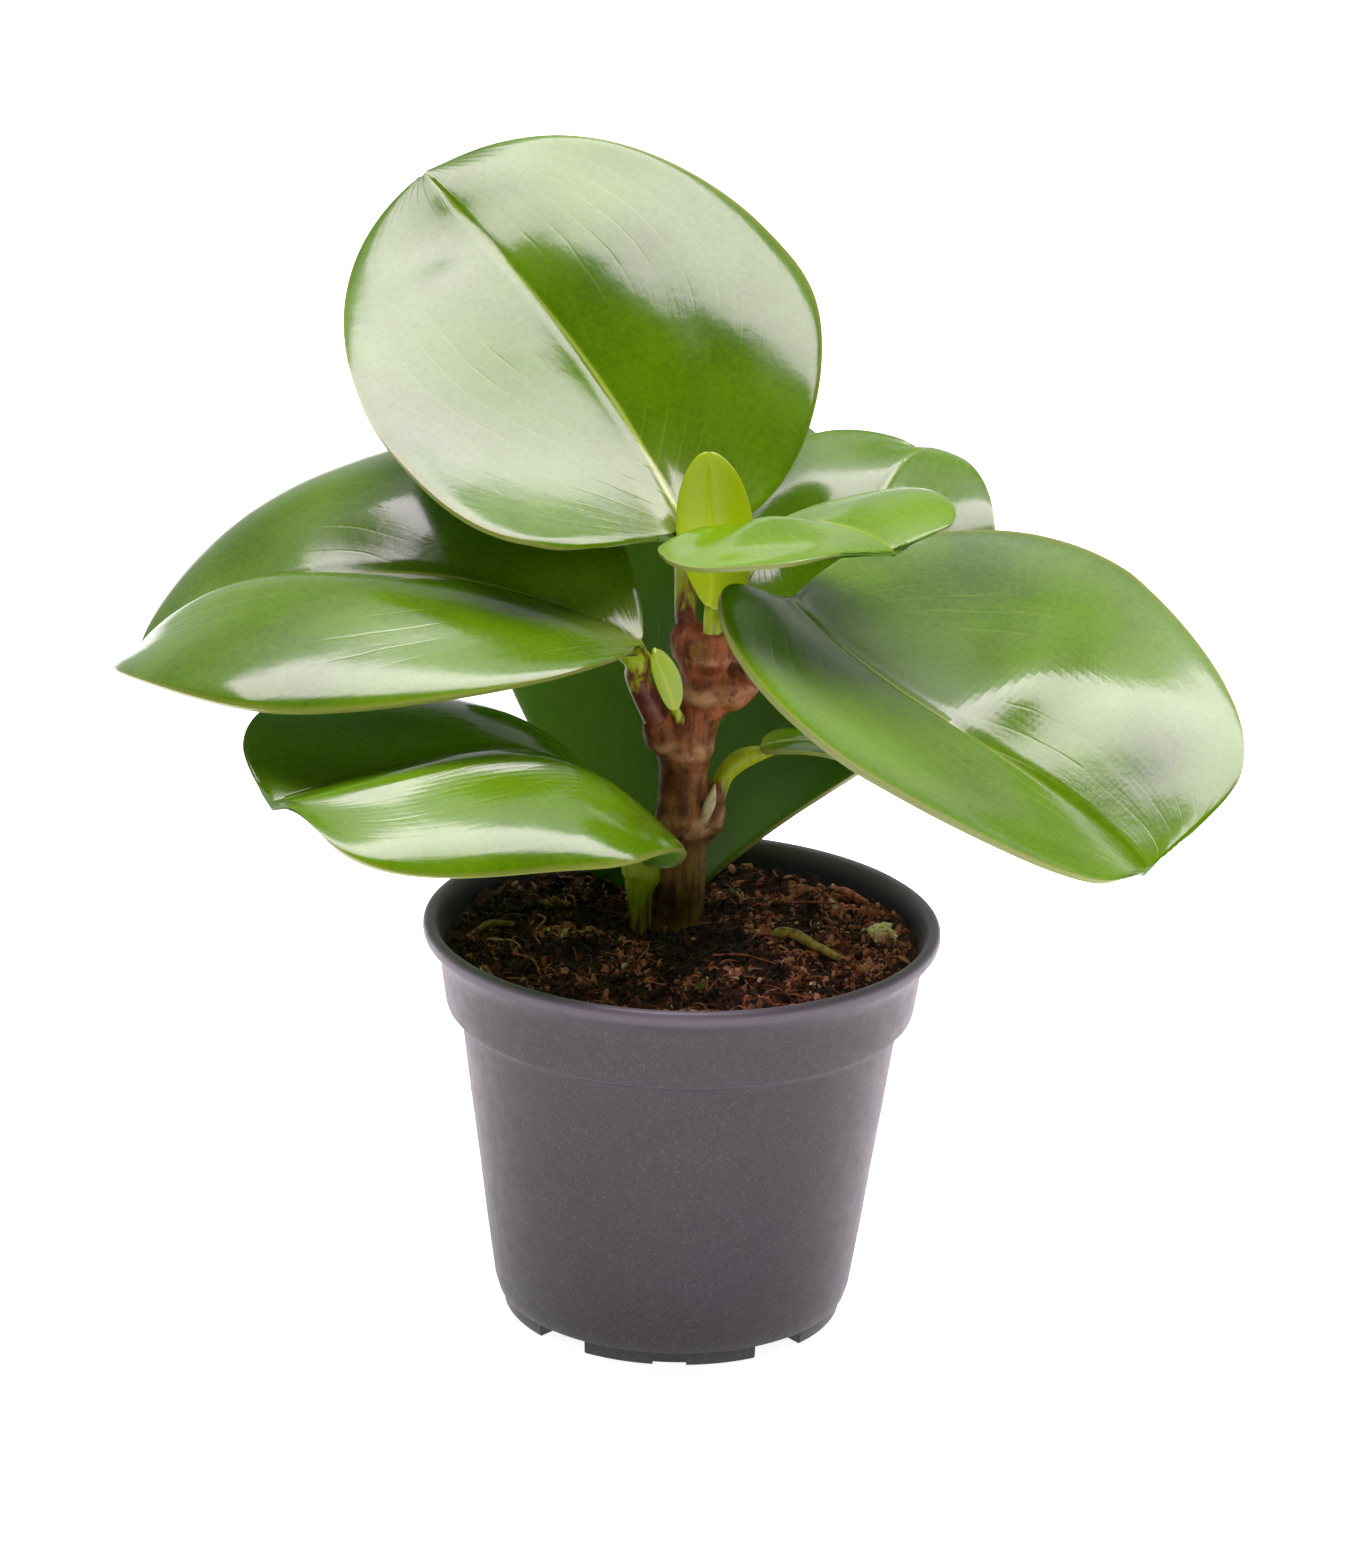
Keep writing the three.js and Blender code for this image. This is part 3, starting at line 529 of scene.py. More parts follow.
def blade_skin(name, leaf):
    """A grid bent to the blade's form, given its thickness and a rounded margin."""
    blade = Blade(leaf)
    small = blade.length < SMALL_BLADE
    rows, columns = (BLADE_ROWS // 2, BLADE_COLUMNS // 2) if small else (BLADE_ROWS, BLADE_COLUMNS)
    obj = begun(bpy.ops.mesh.primitive_grid_add, name, x_subdivisions=columns, y_subdivisions=rows, size=2)
    grid = np.array([v.co[:2] for v in obj.data.vertices])
    s, share = grid[:, 0], np.abs(grid[:, 0])
    w = (grid[:, 1] + 1) / 2 * math.pi
    u = 0.5 - 0.5 * np.cos(w)
    x, y = blade.flat(w, s)
    points = blade.at(x, y) + blade.normal(x, y) * relief(blade, x, y, w, s)[:, None]
    obj.data.vertices.foreach_set("co", (points * MM).astype(np.float32).ravel())
    set_attribute(obj, "across", y)
    set_attribute(obj, "veins", veins(u, share))
    set_attribute(obj, "swell", swells(leaf.get("sheen", ()), u, s))
    # The tone takes in the shades, which are painted shade.
    set_attribute(obj, "tone", leaf.get("tone", USUAL_TONE) + swells(leaf.get("shades", ()), u, s))
    set_attribute(obj, "edge", share)
    set_attribute(obj, "tipward", x / blade.length)
    rib = RIB["height"] * np.exp(-((y / RIB["breadth"]) ** 2)) * np.exp(-np.clip(x, 0, None) / RIB["fade"])
    depth = THICKNESS * (1 - share) + MARGIN * share + rib * (SMALL_RIB if small else 1)
    if small:
        depth = depth * SMALL_THICKNESS
    thick = obj.vertex_groups.new(name="thick")
    for k, value in enumerate(depth / depth.max()):
        thick.add([k], float(value), "REPLACE")
    pick_only(obj)
    bpy.ops.object.mode_set(mode="EDIT")
    bpy.ops.mesh.select_all(action="SELECT")
    bpy.ops.mesh.remove_doubles(threshold=0.02 * MM)
    bpy.ops.object.mode_set(mode="OBJECT")
    middle = obj.data.polygons[len(obj.data.polygons) // 2]
    flat_up = blade.normal(np.array([blade.length / 2]), np.array([0.01]))[0]
    if middle.normal.dot(Vector(flat_up)) < 0:
        obj.data.flip_normals()
    obj.data.materials.append(MATERIALS[leaf["skin"]])
    obj.data.materials.append(MATERIALS[leaf["skin"] + "_under"])
    apply_modifier(obj, "SOLIDIFY", thickness=float(depth.max()) * MM, offset=0.0, vertex_group="thick",
                   material_offset=1, material_offset_rim=1, use_even_offset=False)
    apply_modifier(obj, "BEVEL", width=MARGIN_ROUNDING * MM, segments=3, limit_method="ANGLE",
                   angle_limit=math.radians(50))
    return obj


def curve_points(points, count):
    """Points along a smooth curve through the given ones, each with its radius."""
    knots = np.array(points, float)
    ends = np.array([2 * knots[0] - knots[1], *knots, 2 * knots[-1] - knots[-2]])
    result = []
    for t in np.linspace(0, len(knots) - 1, count):
        k = min(int(t), len(knots) - 2)
        f = t - k
        a, b, c, d = ends[k:k + 4]
        result.append(0.5 * (2 * b + (c - a) * f + (2 * a - 5 * b + 4 * c - d) * f ** 2
                             + (3 * b - a - 3 * c + d) * f ** 3))
    return np.array(result)


# The least radius of a tube, in millimetres.
FINEST = 0.02


def tube(name, points, count, resolution=5, share=None):
    """A round rod of changing radius through the points, closed at both ends."""
    path = curve_points(points, count)
    data = bpy.data.curves.new(name, "CURVE")
    data.dimensions = "3D"
    data.bevel_depth = MM
    data.bevel_resolution = resolution
    data.use_fill_caps = True
    spline = data.splines.new("POLY")
    spline.points.add(count - 1)
    for point, (px, py, pz, radius) in zip(spline.points, path):
        point.co = (px * MM, py * MM, pz * MM, 1)
        point.radius = max(radius, FINEST)
    obj = bpy.data.objects.new(name, data)
    bpy.context.scene.collection.objects.link(obj)
    pick_only(obj)
    bpy.ops.object.convert(target="MESH")
    obj = bpy.context.view_layer.objects.active
    if share:
        spots = np.array([v.co for v in obj.data.vertices]) / MM
        nearest = np.array([np.argmin(((path[:, :3] - s) ** 2).sum(1)) for s in spots])
        set_attribute(obj, share, nearest / (count - 1))
    for polygon in obj.data.polygons:
        polygon.use_smooth = True
    return obj


def petiole_points(leaf):
    """The petiole runs on as a keel under the midrib and fades out there."""
    blade = Blade(leaf)
    share, radius = leaf["keel"]
    end = blade.at(np.array([share * blade.length]), np.array([0.0]))[0] - blade.up * radius * KEEL_SINK
    return [*leaf["petiole"], (*end, radius * KEEL_END)]


def leaf_piece(name):
    leaf = LEAVES[name]
    skin = blade_skin(name + "_fine", leaf)
    stalk = tube(name + "_stalk", petiole_points(leaf), 28, share="foot")
    set_attribute(stalk, "brown", np.full(len(stalk.data.vertices), leaf["brown"]))
    stalk.data.materials.append(MATERIALS["petiole"])
    smooth(skin, 60)
    piece = joined(name + "_fine", [skin, stalk])
    return settle(piece, "leaf_new" if leaf["skin"] == "leaf_new" else "leaf", name)


def leaf_material(name, deep, light, rib, rough, under=False):
    f = Finish(name)
    across = f.sum("ABSOLUTE", f.given("across"))
    edge, tipward = f.given("edge"), f.given("tipward")
    drift = f.patches(45, 3, 0.3, 0.7, -0.25, 0.25, rough=0.55)
    cellwork = f.patches(1300, 3, 0.3, 0.7, -0.14, 0.14, rough=0.65)
    # Where a blade has shades, the tone attribute carries painted shade.
    share = f.sum("ADD", f.sum("ADD", f.given("tone"), drift), cellwork)
    colour = f.two_tone(f.span(share, 0.0, 1.0), deep, light)
    wander = f.patches(60, 2, 0.2, 0.8, -0.2, 0.2)
    phase = f.sum("FRACT", f.sum("ADD", f.given("veins"), wander))
    near = f.sum("ABSOLUTE", f.sum("SUBTRACT", phase, 0.5))
    line = f.sum("MULTIPLY", f.span(near, 0.07, 0.0), f.patches(50, 2, 0.42, 0.6))
    line = f.sum("MULTIPLY", line, f.span(edge, 0.6, 0.95, 1, 0))
    if not under:
        colour = f.tint(colour, rib, line, 0.12)
    midrib = f.sum("MULTIPLY", f.span(across, *MIDRIB_LINE, 1, 0), f.span(tipward, 0.0, 0.8, 0.9, 0.2))
    colour = f.tint(colour, rib, midrib)
    warm = f.span(tipward, 0.0, WARM_BASE["share"], 1, 0)
    warm = f.sum("MULTIPLY", warm, f.span(across, 0, WARM_BASE["across"], 1, 0))
    colour = f.tint(colour, rib, warm, WARM_BASE["most"])
    colour = f.tint(colour, EDGE_LINE["colour"], f.span(edge, EDGE_LINE["start"], 1.0), EDGE_LINE["most"])
    flow = f.add("ShaderNodeCombineXYZ", {0: f.given("veins"), 1: tipward}).outputs[0]
    streaks = f.noise(9, 4, 0.6, f.stretched(1, 0.8, 1, flow))
    normal = f.bump(f.given("swell"), MM)
    normal = f.bump(streaks, STREAK_DEPTH * MM, over=normal)
    normal = f.bump(f.noise(450, 4, 0.6, warp=0.4), WRINKLE_DEPTH * MM, over=normal)
    normal = f.bump(f.sum("MULTIPLY", line, -1.0), VEIN_LINE_DEPTH * MM, over=normal)
    roughness = f.patches(160, 3, 0.3, 0.7, rough - 0.02, rough + 0.04)
    return f.surface(Base_Color=colour, Roughness=roughness, Normal=normal, IOR=1.5)


def petiole_material():
    """Brown at the foot, fresh green further out, with a ragged change between them."""
    f = Finish("petiole")
    streaks = f.noise(800, 4, 0.65, f.stretched(1, 1, 0.1))
    past_brown = f.sum("SUBTRACT", f.given("foot"), f.given("brown"))
    reach = f.sum("ADD", past_brown, f.span(streaks, 0.3, 0.7, -0.28, 0.28))
    dark = f.two_tone(f.patches(420, 3, 0.35, 0.65), "54241a", "824a32")
    fresh = f.two_tone(f.span(streaks, 0.3, 0.7), "7c9006", "a6b41a")
    colour = f.mix(f.span(reach, -0.12, 0.12), dark, fresh)
    return f.surface(Base_Color=colour, Roughness=0.42, Normal=f.bump(streaks, 0.15 * MM, 0.7), IOR=1.38)


# Main stem. Points on its axis with the radius there, swollen at the ringed nodes. The bark's ridges
# are spread round the upright line at STEM_Y.
STEM_Y = 8
STEM = (
    (-0.9, 8, 44, 3.0), (-0.9, 8, 50, 3.5), (-0.8, 8, 55, 3.7), (-0.6, 8, 60, 3.7), (-0.5, 8, 64.5, 3.6),
    (-0.3, 8, 67, 4.0), (-0.4, 8, 69.5, 3.5), (-0.4, 8, 74.5, 3.4), (-0.3, 8, 77.8, 4.1),
    (0.6, 8, 80.5, 3.5), (1.6, 8, 83, 3.3), (2.6, 7.9, 86, 4.0), (2.1, 7.7, 88.5, 3.3),
    (1.7, 7.4, 91, 3.5), (1.8, 7.1, 93.2, 3.2),
)
# Places along a petiole from its foot, with how much thicker the stem's sheath round it is there.
SHEATH = ((-2.6, 0), (0, 1.1), (2.4, 0.7), (3.6, 0.15))
# Two of these leaves come out of the soil, and the third stands in the axil of another.
NO_SHEATH = ("leaf_low_left", "leaf_back", "leaf_axil")
STEM_VOXEL = 0.32
# How far ridges, lumps and grain stand out of the bark.
BARK_RIDGES = 0.10
BARK_LUMPS = 0.16
BARK_GRAIN = 0.05
# Corky rings: height on the stem and breadth.
BARK_RINGS = ((67.2, 1.6), (78, 1.5), (86, 1.8), (91.5, 1.2))
# The heights between which the bark turns from ochre to red-brown.
BARK_TURNS_RED = (60, 82)


def sheath_points(petiole):
    foot, after = np.array(petiole[0][:3], float), np.array(petiole[1][:3], float)
    along = unit(after - foot)
    radius = petiole[0][3]
    return [(*(foot + along * distance), radius + thicker) for distance, thicker in SHEATH]


def stem_piece():
    parts = [tube("stem_axis", STEM, 90, 8)]
    for name, leaf in LEAVES.items():
        if name not in NO_SHEATH:
            parts.append(tube("sheath", sheath_points(leaf["petiole"]), 14, 6))
    stem = joined("main_stem_fine", parts)
    apply_modifier(stem, "REMESH", mode="VOXEL", voxel_size=STEM_VOXEL * MM)
    apply_modifier(stem, "SMOOTH", factor=0.6, iterations=5)
    normals = [v.normal.copy() for v in stem.data.vertices]
    for vertex, normal in zip(stem.data.vertices, normals):
        x, y, z = vertex.co / MM
        angle = math.atan2(y - STEM_Y, x)
        ridges = BARK_RIDGES * noise.noise(Vector((angle * 2.6, 3.1, z * 0.09)))
        lumps = BARK_LUMPS * noise.noise(Vector((x, y, z)) * 0.55)
        grain = BARK_GRAIN * noise.noise(Vector((x, y, z * 0.5)) * 2.2)
        vertex.co += normal * (ridges + lumps + grain) * MM
    smooth(stem, 60)
    return settle(stem, "bark", "main_stem", finish="bark")


def bark_material():
    """Ochre below and red-brown above, with strings, dark grain, corky rings and green spots."""
    f = Finish("bark")
    height = f.height()
    strings = f.noise(750, 5, 0.65, f.stretched(1, 1, 0.12))
    blotches = f.patches(260, 4, 0.38, 0.62, rough=0.6)
    drift = f.patches(90, 2, 0.3, 0.7, -3 * MM, 3 * MM)
    low, high = f.two_tone(blotches, "50380f", "86652a"), f.two_tone(blotches, "6a3214", "a05f38")
    level = f.sum("ADD", height, drift)
    colour = f.mix(f.span(level, BARK_TURNS_RED[0] * MM, BARK_TURNS_RED[1] * MM), low, high)
    colour = f.tint(colour, "34180a", f.span(strings, 0.48, 0.66, 0, 0.75))
    colour = f.tint(colour, "2c1408", f.patches(1500, 3, 0.6, 0.7, 0, 0.6, rough=0.6))
    level = f.sum("ADD", height, f.sum("MULTIPLY", drift, 0.3))
    ring = 0.0
    for middle, breadth in BARK_RINGS:
        away = f.sum("ABSOLUTE", f.sum("SUBTRACT", level, middle * MM))
        ring = f.sum("MAXIMUM", ring, f.span(away, 0.3 * breadth * MM, breadth * MM, 1, 0))
    ring = f.sum("MULTIPLY", ring, f.patches(330, 4, 0.4, 0.6, rough=0.65))
    colour = f.tint(colour, "c19468", ring, 0.75)
    colour = f.tint(colour, "74741c", f.patches(150, 2, 0.6, 0.72, 0, 0.5))
    normal = f.bump(strings, 0.3 * MM, 0.8)
    normal = f.bump(f.noise(2400, 3, 0.6), 0.08 * MM, 0.7, normal)
    return f.surface(Base_Color=colour, Roughness=0.6, Normal=normal, IOR=1.3)


# Pot, as radius and height pairs: under the floor, up the outside, over the lip, down the inside.
POT_SEGMENTS = 128
POT_PROFILE = (
    (9, 0), (9.6, 0.5), (10, 1.8), (19.5, 1.8), (20.1, 0.4), (20.4, 0), (22.8, 0), (23.0, 0.25),
    (23.1, 1.8), (23.3, 2.0), (23.6, 2.1), (23.9, 2.6), (24.4, 4.3), (25.7, 13), (26.9, 22), (28.2, 31),
    (29.45, 40.4), (29.6, 41.6), (29.7, 42.3), (29.95, 42.9), (30.5, 43.35), (31.3, 43.65), (31.65, 43.9),
    (31.8, 44.4), (32.2, 47), (32.5, 49.3), (32.9, 51.2), (33.4, 52.3), (34.0, 52.9), (34.5, 53.3),
    (34.8, 53.7), (35.0, 54.2), (35.0, 54.9), (34.85, 55.3), (34.5, 55.55), (34.0, 55.6), (33.6, 55.5),
    (33.3, 55.2), (33.0, 54.6), (32.2, 52), (31.7, 49), (31.1, 46), (30.6, 44.7), (29.4, 43.7),
    (28.6, 42.3), (23.3, 4.8), (22.8, 3.5), (22.2, 3.0),
)
# Notches in the foot ring, at their angles from the front, how far out their middles are and how deep
# they go into the ring. Each cut starts a little below the ground.
WIDE_NOTCHES = dict(at=(40, 140, 220, 320), width=8, height=1.8)
LOW_NOTCHES = dict(at=(0, 90, 180, 270), width=4.5, height=0.5)
NOTCH_OUT = 21.65
NOTCH_DEPTH = 6.7
CUT_BELOW = 1
DRAIN_HOLES = dict(count=8, radius=2.4, out=14.8, middle=2, depth=6)
# Finish: a bluish shade is painted on the inner wall where it leaves the soil. It is told from the outer
# one by a cone that lies within the wall, with its radius at the ground and how much wider it gets by
# height.
# The painted shade starts between the heights of SOIL_IN_POT, and a painted highlight pales the lip
# between the heights that follow them.
WITHIN_WALL = dict(radius=22.4, widens=0.2)
SOIL_IN_POT = (44, 46)
# Heights between which the painted highlight on the lip comes in.
LIP_HIGHLIGHT = (53.4, 54.8)


def cut(piece, tool):
    apply_modifier(piece, "BOOLEAN", operation="DIFFERENCE", object=tool, solver="EXACT")
    bpy.data.objects.remove(tool)


def pot_piece():
    pot = turned("pot_fine", POT_PROFILE, POT_SEGMENTS, facing_down=True)
    for notches in (WIDE_NOTCHES, LOW_NOTCHES):
        for angle in notches["at"]:
            turn = math.radians(angle)
            middle = (notches["height"] - CUT_BELOW) / 2
            place = (NOTCH_OUT * math.sin(turn) * MM, -NOTCH_OUT * math.cos(turn) * MM, middle * MM)
            scale = (notches["width"] * MM, NOTCH_DEPTH * MM, (notches["height"] + CUT_BELOW) * MM)
            cut(pot, begun(bpy.ops.mesh.primitive_cube_add, "notch", size=1, location=place,
                           rotation=(0, 0, turn), scale=scale))
    out = DRAIN_HOLES["out"]
    for k in range(DRAIN_HOLES["count"]):
        turn = 2 * math.pi * (k + 0.5) / DRAIN_HOLES["count"]
        place = (out * math.cos(turn) * MM, out * math.sin(turn) * MM, DRAIN_HOLES["middle"] * MM)
        cut(pot, begun(bpy.ops.mesh.primitive_cylinder_add, "drain_hole", vertices=24, location=place,
                       radius=DRAIN_HOLES["radius"] * MM, depth=DRAIN_HOLES["depth"] * MM))
    pot.data.materials.clear()
    smooth(pot, 35)
    return settle(pot, "pot", "pot", finish="pot")


def pot_material():
    """Moulded grey plastic with pale specks and dark pits, a painted bluish shade inside and a painted
    highlight on the lip.
    """
    f = Finish("pot")
    colour = f.two_tone(f.patches(22, 3, 0.3, 0.7), "261f25", "2e2730")
    colour = f.tint(colour, "71666c", f.patches(3000, 2, 0.54, 0.72, rough=0.7), 0.34)
    colour = f.tint(colour, "241f23", f.patches(2400, 2, 0.3, 0.44, 1, 0, rough=0.7), 0.4)
    scuffs = f.patches(340, 5, 0.62, 0.72, rough=0.7, place=f.stretched(1, 1, 0.25))
    colour = f.tint(colour, "8d8288", scuffs, 0.02)
    height = f.height()
    # Painted shade: the inner wall above the soil is tinted bluish.
    reach = f.add("ShaderNodeVectorMath", {0: f.stretched(1, 1, 0)}, operation="LENGTH").outputs["Value"]
    cone = f.sum("ADD", f.sum("MULTIPLY", height, WITHIN_WALL["widens"]), WITHIN_WALL["radius"] * MM)
    inside = f.span(f.sum("SUBTRACT", cone, reach), -0.1 * MM, 0.2 * MM)
    inside = f.sum("MULTIPLY", inside, f.span(height, SOIL_IN_POT[0] * MM, SOIL_IN_POT[1] * MM))
    colour = f.tint(colour, "2e2a3a", inside)
    # Painted highlight: the lip is tinted paler.
    colour = f.tint(colour, "857c8a", f.span(height, LIP_HIGHLIGHT[0] * MM, LIP_HIGHLIGHT[1] * MM, 0, 0.42))
    normal = f.bump(f.noise(1900, 3, 0.6), 0.05 * MM, 0.5)
    return f.surface(Base_Color=colour, Roughness=f.patches(500, 3, 0.3, 0.7, 0.42, 0.52), Normal=normal,
                     IOR=1.5, Sheen_Weight=0.3, Sheen_Roughness=0.35, Sheen_Tint=paint("d6c4dc"))


# Soil, with what lies in it. Its rings go out from a small disc, and its wall goes down the pot.
SOIL_LEVEL = 52.0
SOIL_MIDDLE = 0.4
SOIL_RADIUS = 31.9
SOIL_RINGS = 78
SOIL_SEGMENTS = 160
SOIL_WALL = ((31.2, 48.6), (30.4, 45.2), (29, 43.8), (28.2, 42), (22.8, 5), (21.9, 3.3))
SOIL_SEED = 7
# Middle, height and spread of the bank, and of the painted shade round the stem.
DRY_BANK = (26, 6, 0.5, 160)
SHADE_ROUND_STEM = (-1, 4, 0.35, 70)
# How pale loose soil is: how much patches change it, the painted light that pales the right side and the
# painted shade that darkens the left side, the share of bits that may be the palest, the palest that the
# others may be, and the darkest fibre.
PALE_PATCHES = 0.7
LIT_RIGHT_SIDE = dict(start=10, breadth=14, paler=0.4)
SHADED_LEFT_SIDE = dict(end=-8, darker=0.1)
PALEST_SHARE = 0.03
PALEST_OTHERS = 0.9
DARKEST_FIBRE = 0.3
# How many crumbs and fibres lie on the soil, and how far out.
CRUMBS = 5200
CRUMB_REACH = 31.0
FIBRES = 2300
FIBRE_REACH = 29.5
# Where the stem comes out of the soil, with the radius that loose bits keep off.
STEM_FOOT = (-0.9, 8, 3.6)
# Mossy places on the soil: place, spread and how light the moss is.
MOSS_SPOTS = (
    (-2.4, 1.6, 1.5, 0.1), (-1.2, 1.0, 1.2, 0.1), (-8.4, 0.4, 1.1, 0.15), (-15.1, 18.7, 0.8, 0.5),
    (-18.9, 10.1, 0.9, 0.6), (6.8, 17.7, 0.4, 0.6), (2.6, -17.9, 0.5, 0.7), (-17.7, 14.8, 0.6, 0.5),
)
MOSS_TUFTS = 260
# Loose flakes: place, length, breadth, turn in degrees and how pale.
FLAKES = (
    (-13.6, 2.1, 1.1, 0.7, 20, 0.95), (15.6, 8.3, 0.7, 0.6, 0, 0.99), (1.7, -0.5, 1.0, 0.8, 40, 0.93),
    (-8.0, -6.9, 0.9, 0.6, 80, 0.85), (7.2, -13.2, 2.4, 0.8, -25, 0.94),
    (9.4, -14.8, 1.6, 0.4, -20, 0.96), (22.4, 2.3, 1.1, 0.9, 30, 1.0), (17.4, -16, 1.0, 0.5, 60, 0.99),
    (2.1, -15.4, 1.4, 0.5, 10, 0.93), (24.6, -10.6, 1.2, 0.5, 35, 0.99), (-26, 13.2, 1.5, 0.8, 15, 0.94),
    (-20.6, 20, 2.6, 0.8, -55, 0.86), (20.2, 15.3, 2.4, 0.6, -60, 0.88), (22.6, 8.2, 2.4, 0.5, -65, 0.82),
    (12.4, -19, 1.2, 0.7, 0, 0.9), (27.6, -2.5, 1.4, 0.6, 80, 0.93), (25.4, 8.8, 1.3, 0.8, 20, 0.94),
    (-24.6, -8.4, 1.5, 0.5, -30, 0.88),
)
# Thin rootlets: points with the radius there.
ROOTLETS = (
    ((-19.6, 7, 53, 0.2), (-18.6, 3.6, 53.6, 0.17), (-19.9, -0.6, 53.2, 0.15), (-19, -4.8, 53.2, 0.1)),
    ((-22.5, -8, 53.0, 0.2), (-19.8, -11.6, 53.6, 0.16), (-18.6, -15.5, 53.0, 0.1)),
    ((4.4, -6.5, 53.0, 0.18), (8.5, -8.2, 53.8, 0.15), (12.8, -9.4, 53.1, 0.1)),
    ((14, 14.5, 53.0, 0.17), (18.6, 12.6, 53.9, 0.15), (21.5, 14.2, 53.1, 0.1)),
)


def mound(x, y, middle_x, middle_y, height, spread):
    return height * math.exp(-((x - middle_x) ** 2 + (y - middle_y) ** 2) / spread)


def soil_height(x, y):
    """The uneven top: long waves, the bank at the right, and clods of three sizes."""
    bumps = (0.45 * math.sin(0.41 * x + 0.3) * math.cos(0.37 * y - 0.6)
             + 0.3 * math.sin(0.93 * x - 0.7 * y + 1.1) + 0.25 * math.sin(1.27 * y + 0.5 * x))
    spot = Vector((x, y, 0))
    clods = 0.9 * noise.noise(spot * 0.33) + 0.55 * noise.noise(spot * 0.9)
    clods += 0.35 * noise.noise(spot * 2.1)
    return SOIL_LEVEL + bumps + mound(x, y, *DRY_BANK) + clods


def soil_piece():
    """The soil's top and the body under it, made ring by ring."""
    rings = [(radius, SOIL_LEVEL) for radius in np.linspace(SOIL_MIDDLE, SOIL_RADIUS, SOIL_RINGS)]
    soil = turned("soil_fine", (*rings, *SOIL_WALL), SOIL_SEGMENTS)
    for vertex in soil.data.vertices:
        if vertex.co.z > (SOIL_LEVEL - 0.01) * MM:
            vertex.co.z = soil_height(vertex.co.x / MM, vertex.co.y / MM) * MM
    smooth(soil, 70)
    return settle(soil, "soil", "soil", finish="soil")


def scattered(name, shape, count, place_one, finish):
    """Many small copies of one shape in one mesh, each with its own place, size and shade."""
    points, faces = shape
    draw = random.Random(SOIL_SEED + count)
    verts, polys, shades = [], [], []
    for _ in range(count):
        matrix, shade = place_one(draw)
        start = len(verts)
        verts.extend(matrix @ Vector(p) for p in points)
        polys.extend([tuple(start + k for k in face) for face in faces])
        shades.extend([shade] * len(points))
    mesh = bpy.data.meshes.new(name)
    mesh.from_pydata([v * MM for v in verts], [], polys)
    obj = bpy.data.objects.new(name, mesh)
    bpy.context.scene.collection.objects.link(obj)
    set_attribute(obj, "shade", shades)
    smooth(obj, 50)
    return settle(obj, "soil", finish=finish)


def laid(x, y, above, turn, size):
    """Where a small bit lies on the soil, how it is turned, and its size along its own axes."""
    place = Matrix.Translation((x, y, soil_height(x, y) + above))
    return place @ Euler(turn).to_matrix().to_4x4() @ Matrix.Diagonal((*size, 1))


def any_turn(draw):
    return [draw.uniform(0, 2 * math.pi) for _ in range(3)]


def soil_spot(draw, reach):
    while True:
        radius = reach * math.sqrt(draw.random())
        angle = draw.uniform(0, 2 * math.pi)
        x, y = radius * math.cos(angle), radius * math.sin(angle)
        if math.hypot(x - STEM_FOOT[0], y - STEM_FOOT[1]) > STEM_FOOT[2]:
            return x, y


def soil_paleness(draw, x, y):
    """Loose soil: paler in patches, painted light at the right, painted shade at the left and round the
    stem.
    """
    patch = PALE_PATCHES * noise.noise(Vector((x, y, 4)) * 0.17)
    # Painted light makes loose soil paler at the right. Painted shade makes it darker at the left and
    # round the stem.
    painted_light = LIT_RIGHT_SIDE["paler"] * min(1, max(0, (x - LIT_RIGHT_SIDE["start"]) / LIT_RIGHT_SIDE["breadth"]))
    painted_shade = SHADED_LEFT_SIDE["darker"] * (x < SHADED_LEFT_SIDE["end"]) + mound(x, y, *SHADE_ROUND_STEM)
    shade = draw.random()
    palest = 1.0 if shade > 1 - PALEST_SHARE else PALEST_OTHERS
    return min(palest, max(0.0, shade + patch + painted_light - painted_shade))


# How far a crumb's corners leave the round, as a share of its size.
CRUMB_LUMPS = 0.35


def crumb_shape():
    """An uneven lump with 12 corners."""
    bm = bmesh.new()
    bmesh.ops.create_icosphere(bm, subdivisions=1, radius=1.0)
    for vertex in bm.verts:
        vertex.co *= 1 + CRUMB_LUMPS * noise.noise(vertex.co * 1.7)
    shape = [tuple(v.co) for v in bm.verts], [tuple(v.index for v in f.verts) for f in bm.faces]
    bm.free()
    return shape


def crumb(draw):
    x, y = soil_spot(draw, CRUMB_REACH)
    size = 0.2 + 0.7 * draw.random() ** 3
    sizes = (size * draw.uniform(0.8, 2.2), size * draw.uniform(0.45, 1.0), size * draw.uniform(0.35, 0.8))
    turn = any_turn(draw)
    return laid(x, y, size * draw.uniform(-0.1, 0.5), turn, sizes), soil_paleness(draw, x, y)


def fibre_shape(bend=0.22, sides=4, steps=7):
    """A bent strand of length 2 along X, tapered at both ends."""
    points, faces = [], []
    for k in range(steps + 1):
        t = k / steps
        x, z = 2 * t - 1, bend * math.sin(math.pi * t) * 2 - bend
        y = 0.12 * math.sin(2 * math.pi * t)
        radius = 0.06 * (0.35 + math.sin(math.pi * (0.08 + 0.84 * t)))
        for j in range(sides):
            a = 2 * math.pi * j / sides
            points.append((x, y + radius * math.cos(a), z + radius * math.sin(a)))
    for k in range(steps):
        for j in range(sides):
            a, b = k * sides + j, k * sides + (j + 1) % sides
            faces.append((a, b, b + sides, a + sides))
    faces.append(tuple(range(sides))[::-1])
    faces.append(tuple(steps * sides + j for j in range(sides)))
    return points, faces


def fibre(draw):
    x, y = soil_spot(draw, FIBRE_REACH)
    length = 0.5 + 2.6 * draw.random() ** 3
    sizes = (length, draw.uniform(0.7, 2.6), min(length, 1.6))
    turn = (draw.uniform(-1.2, 1.2), draw.uniform(-0.35, 0.35), draw.uniform(0, 2 * math.pi))
    return laid(x, y, 0.25, turn, sizes), max(DARKEST_FIBRE, soil_paleness(draw, x, y))


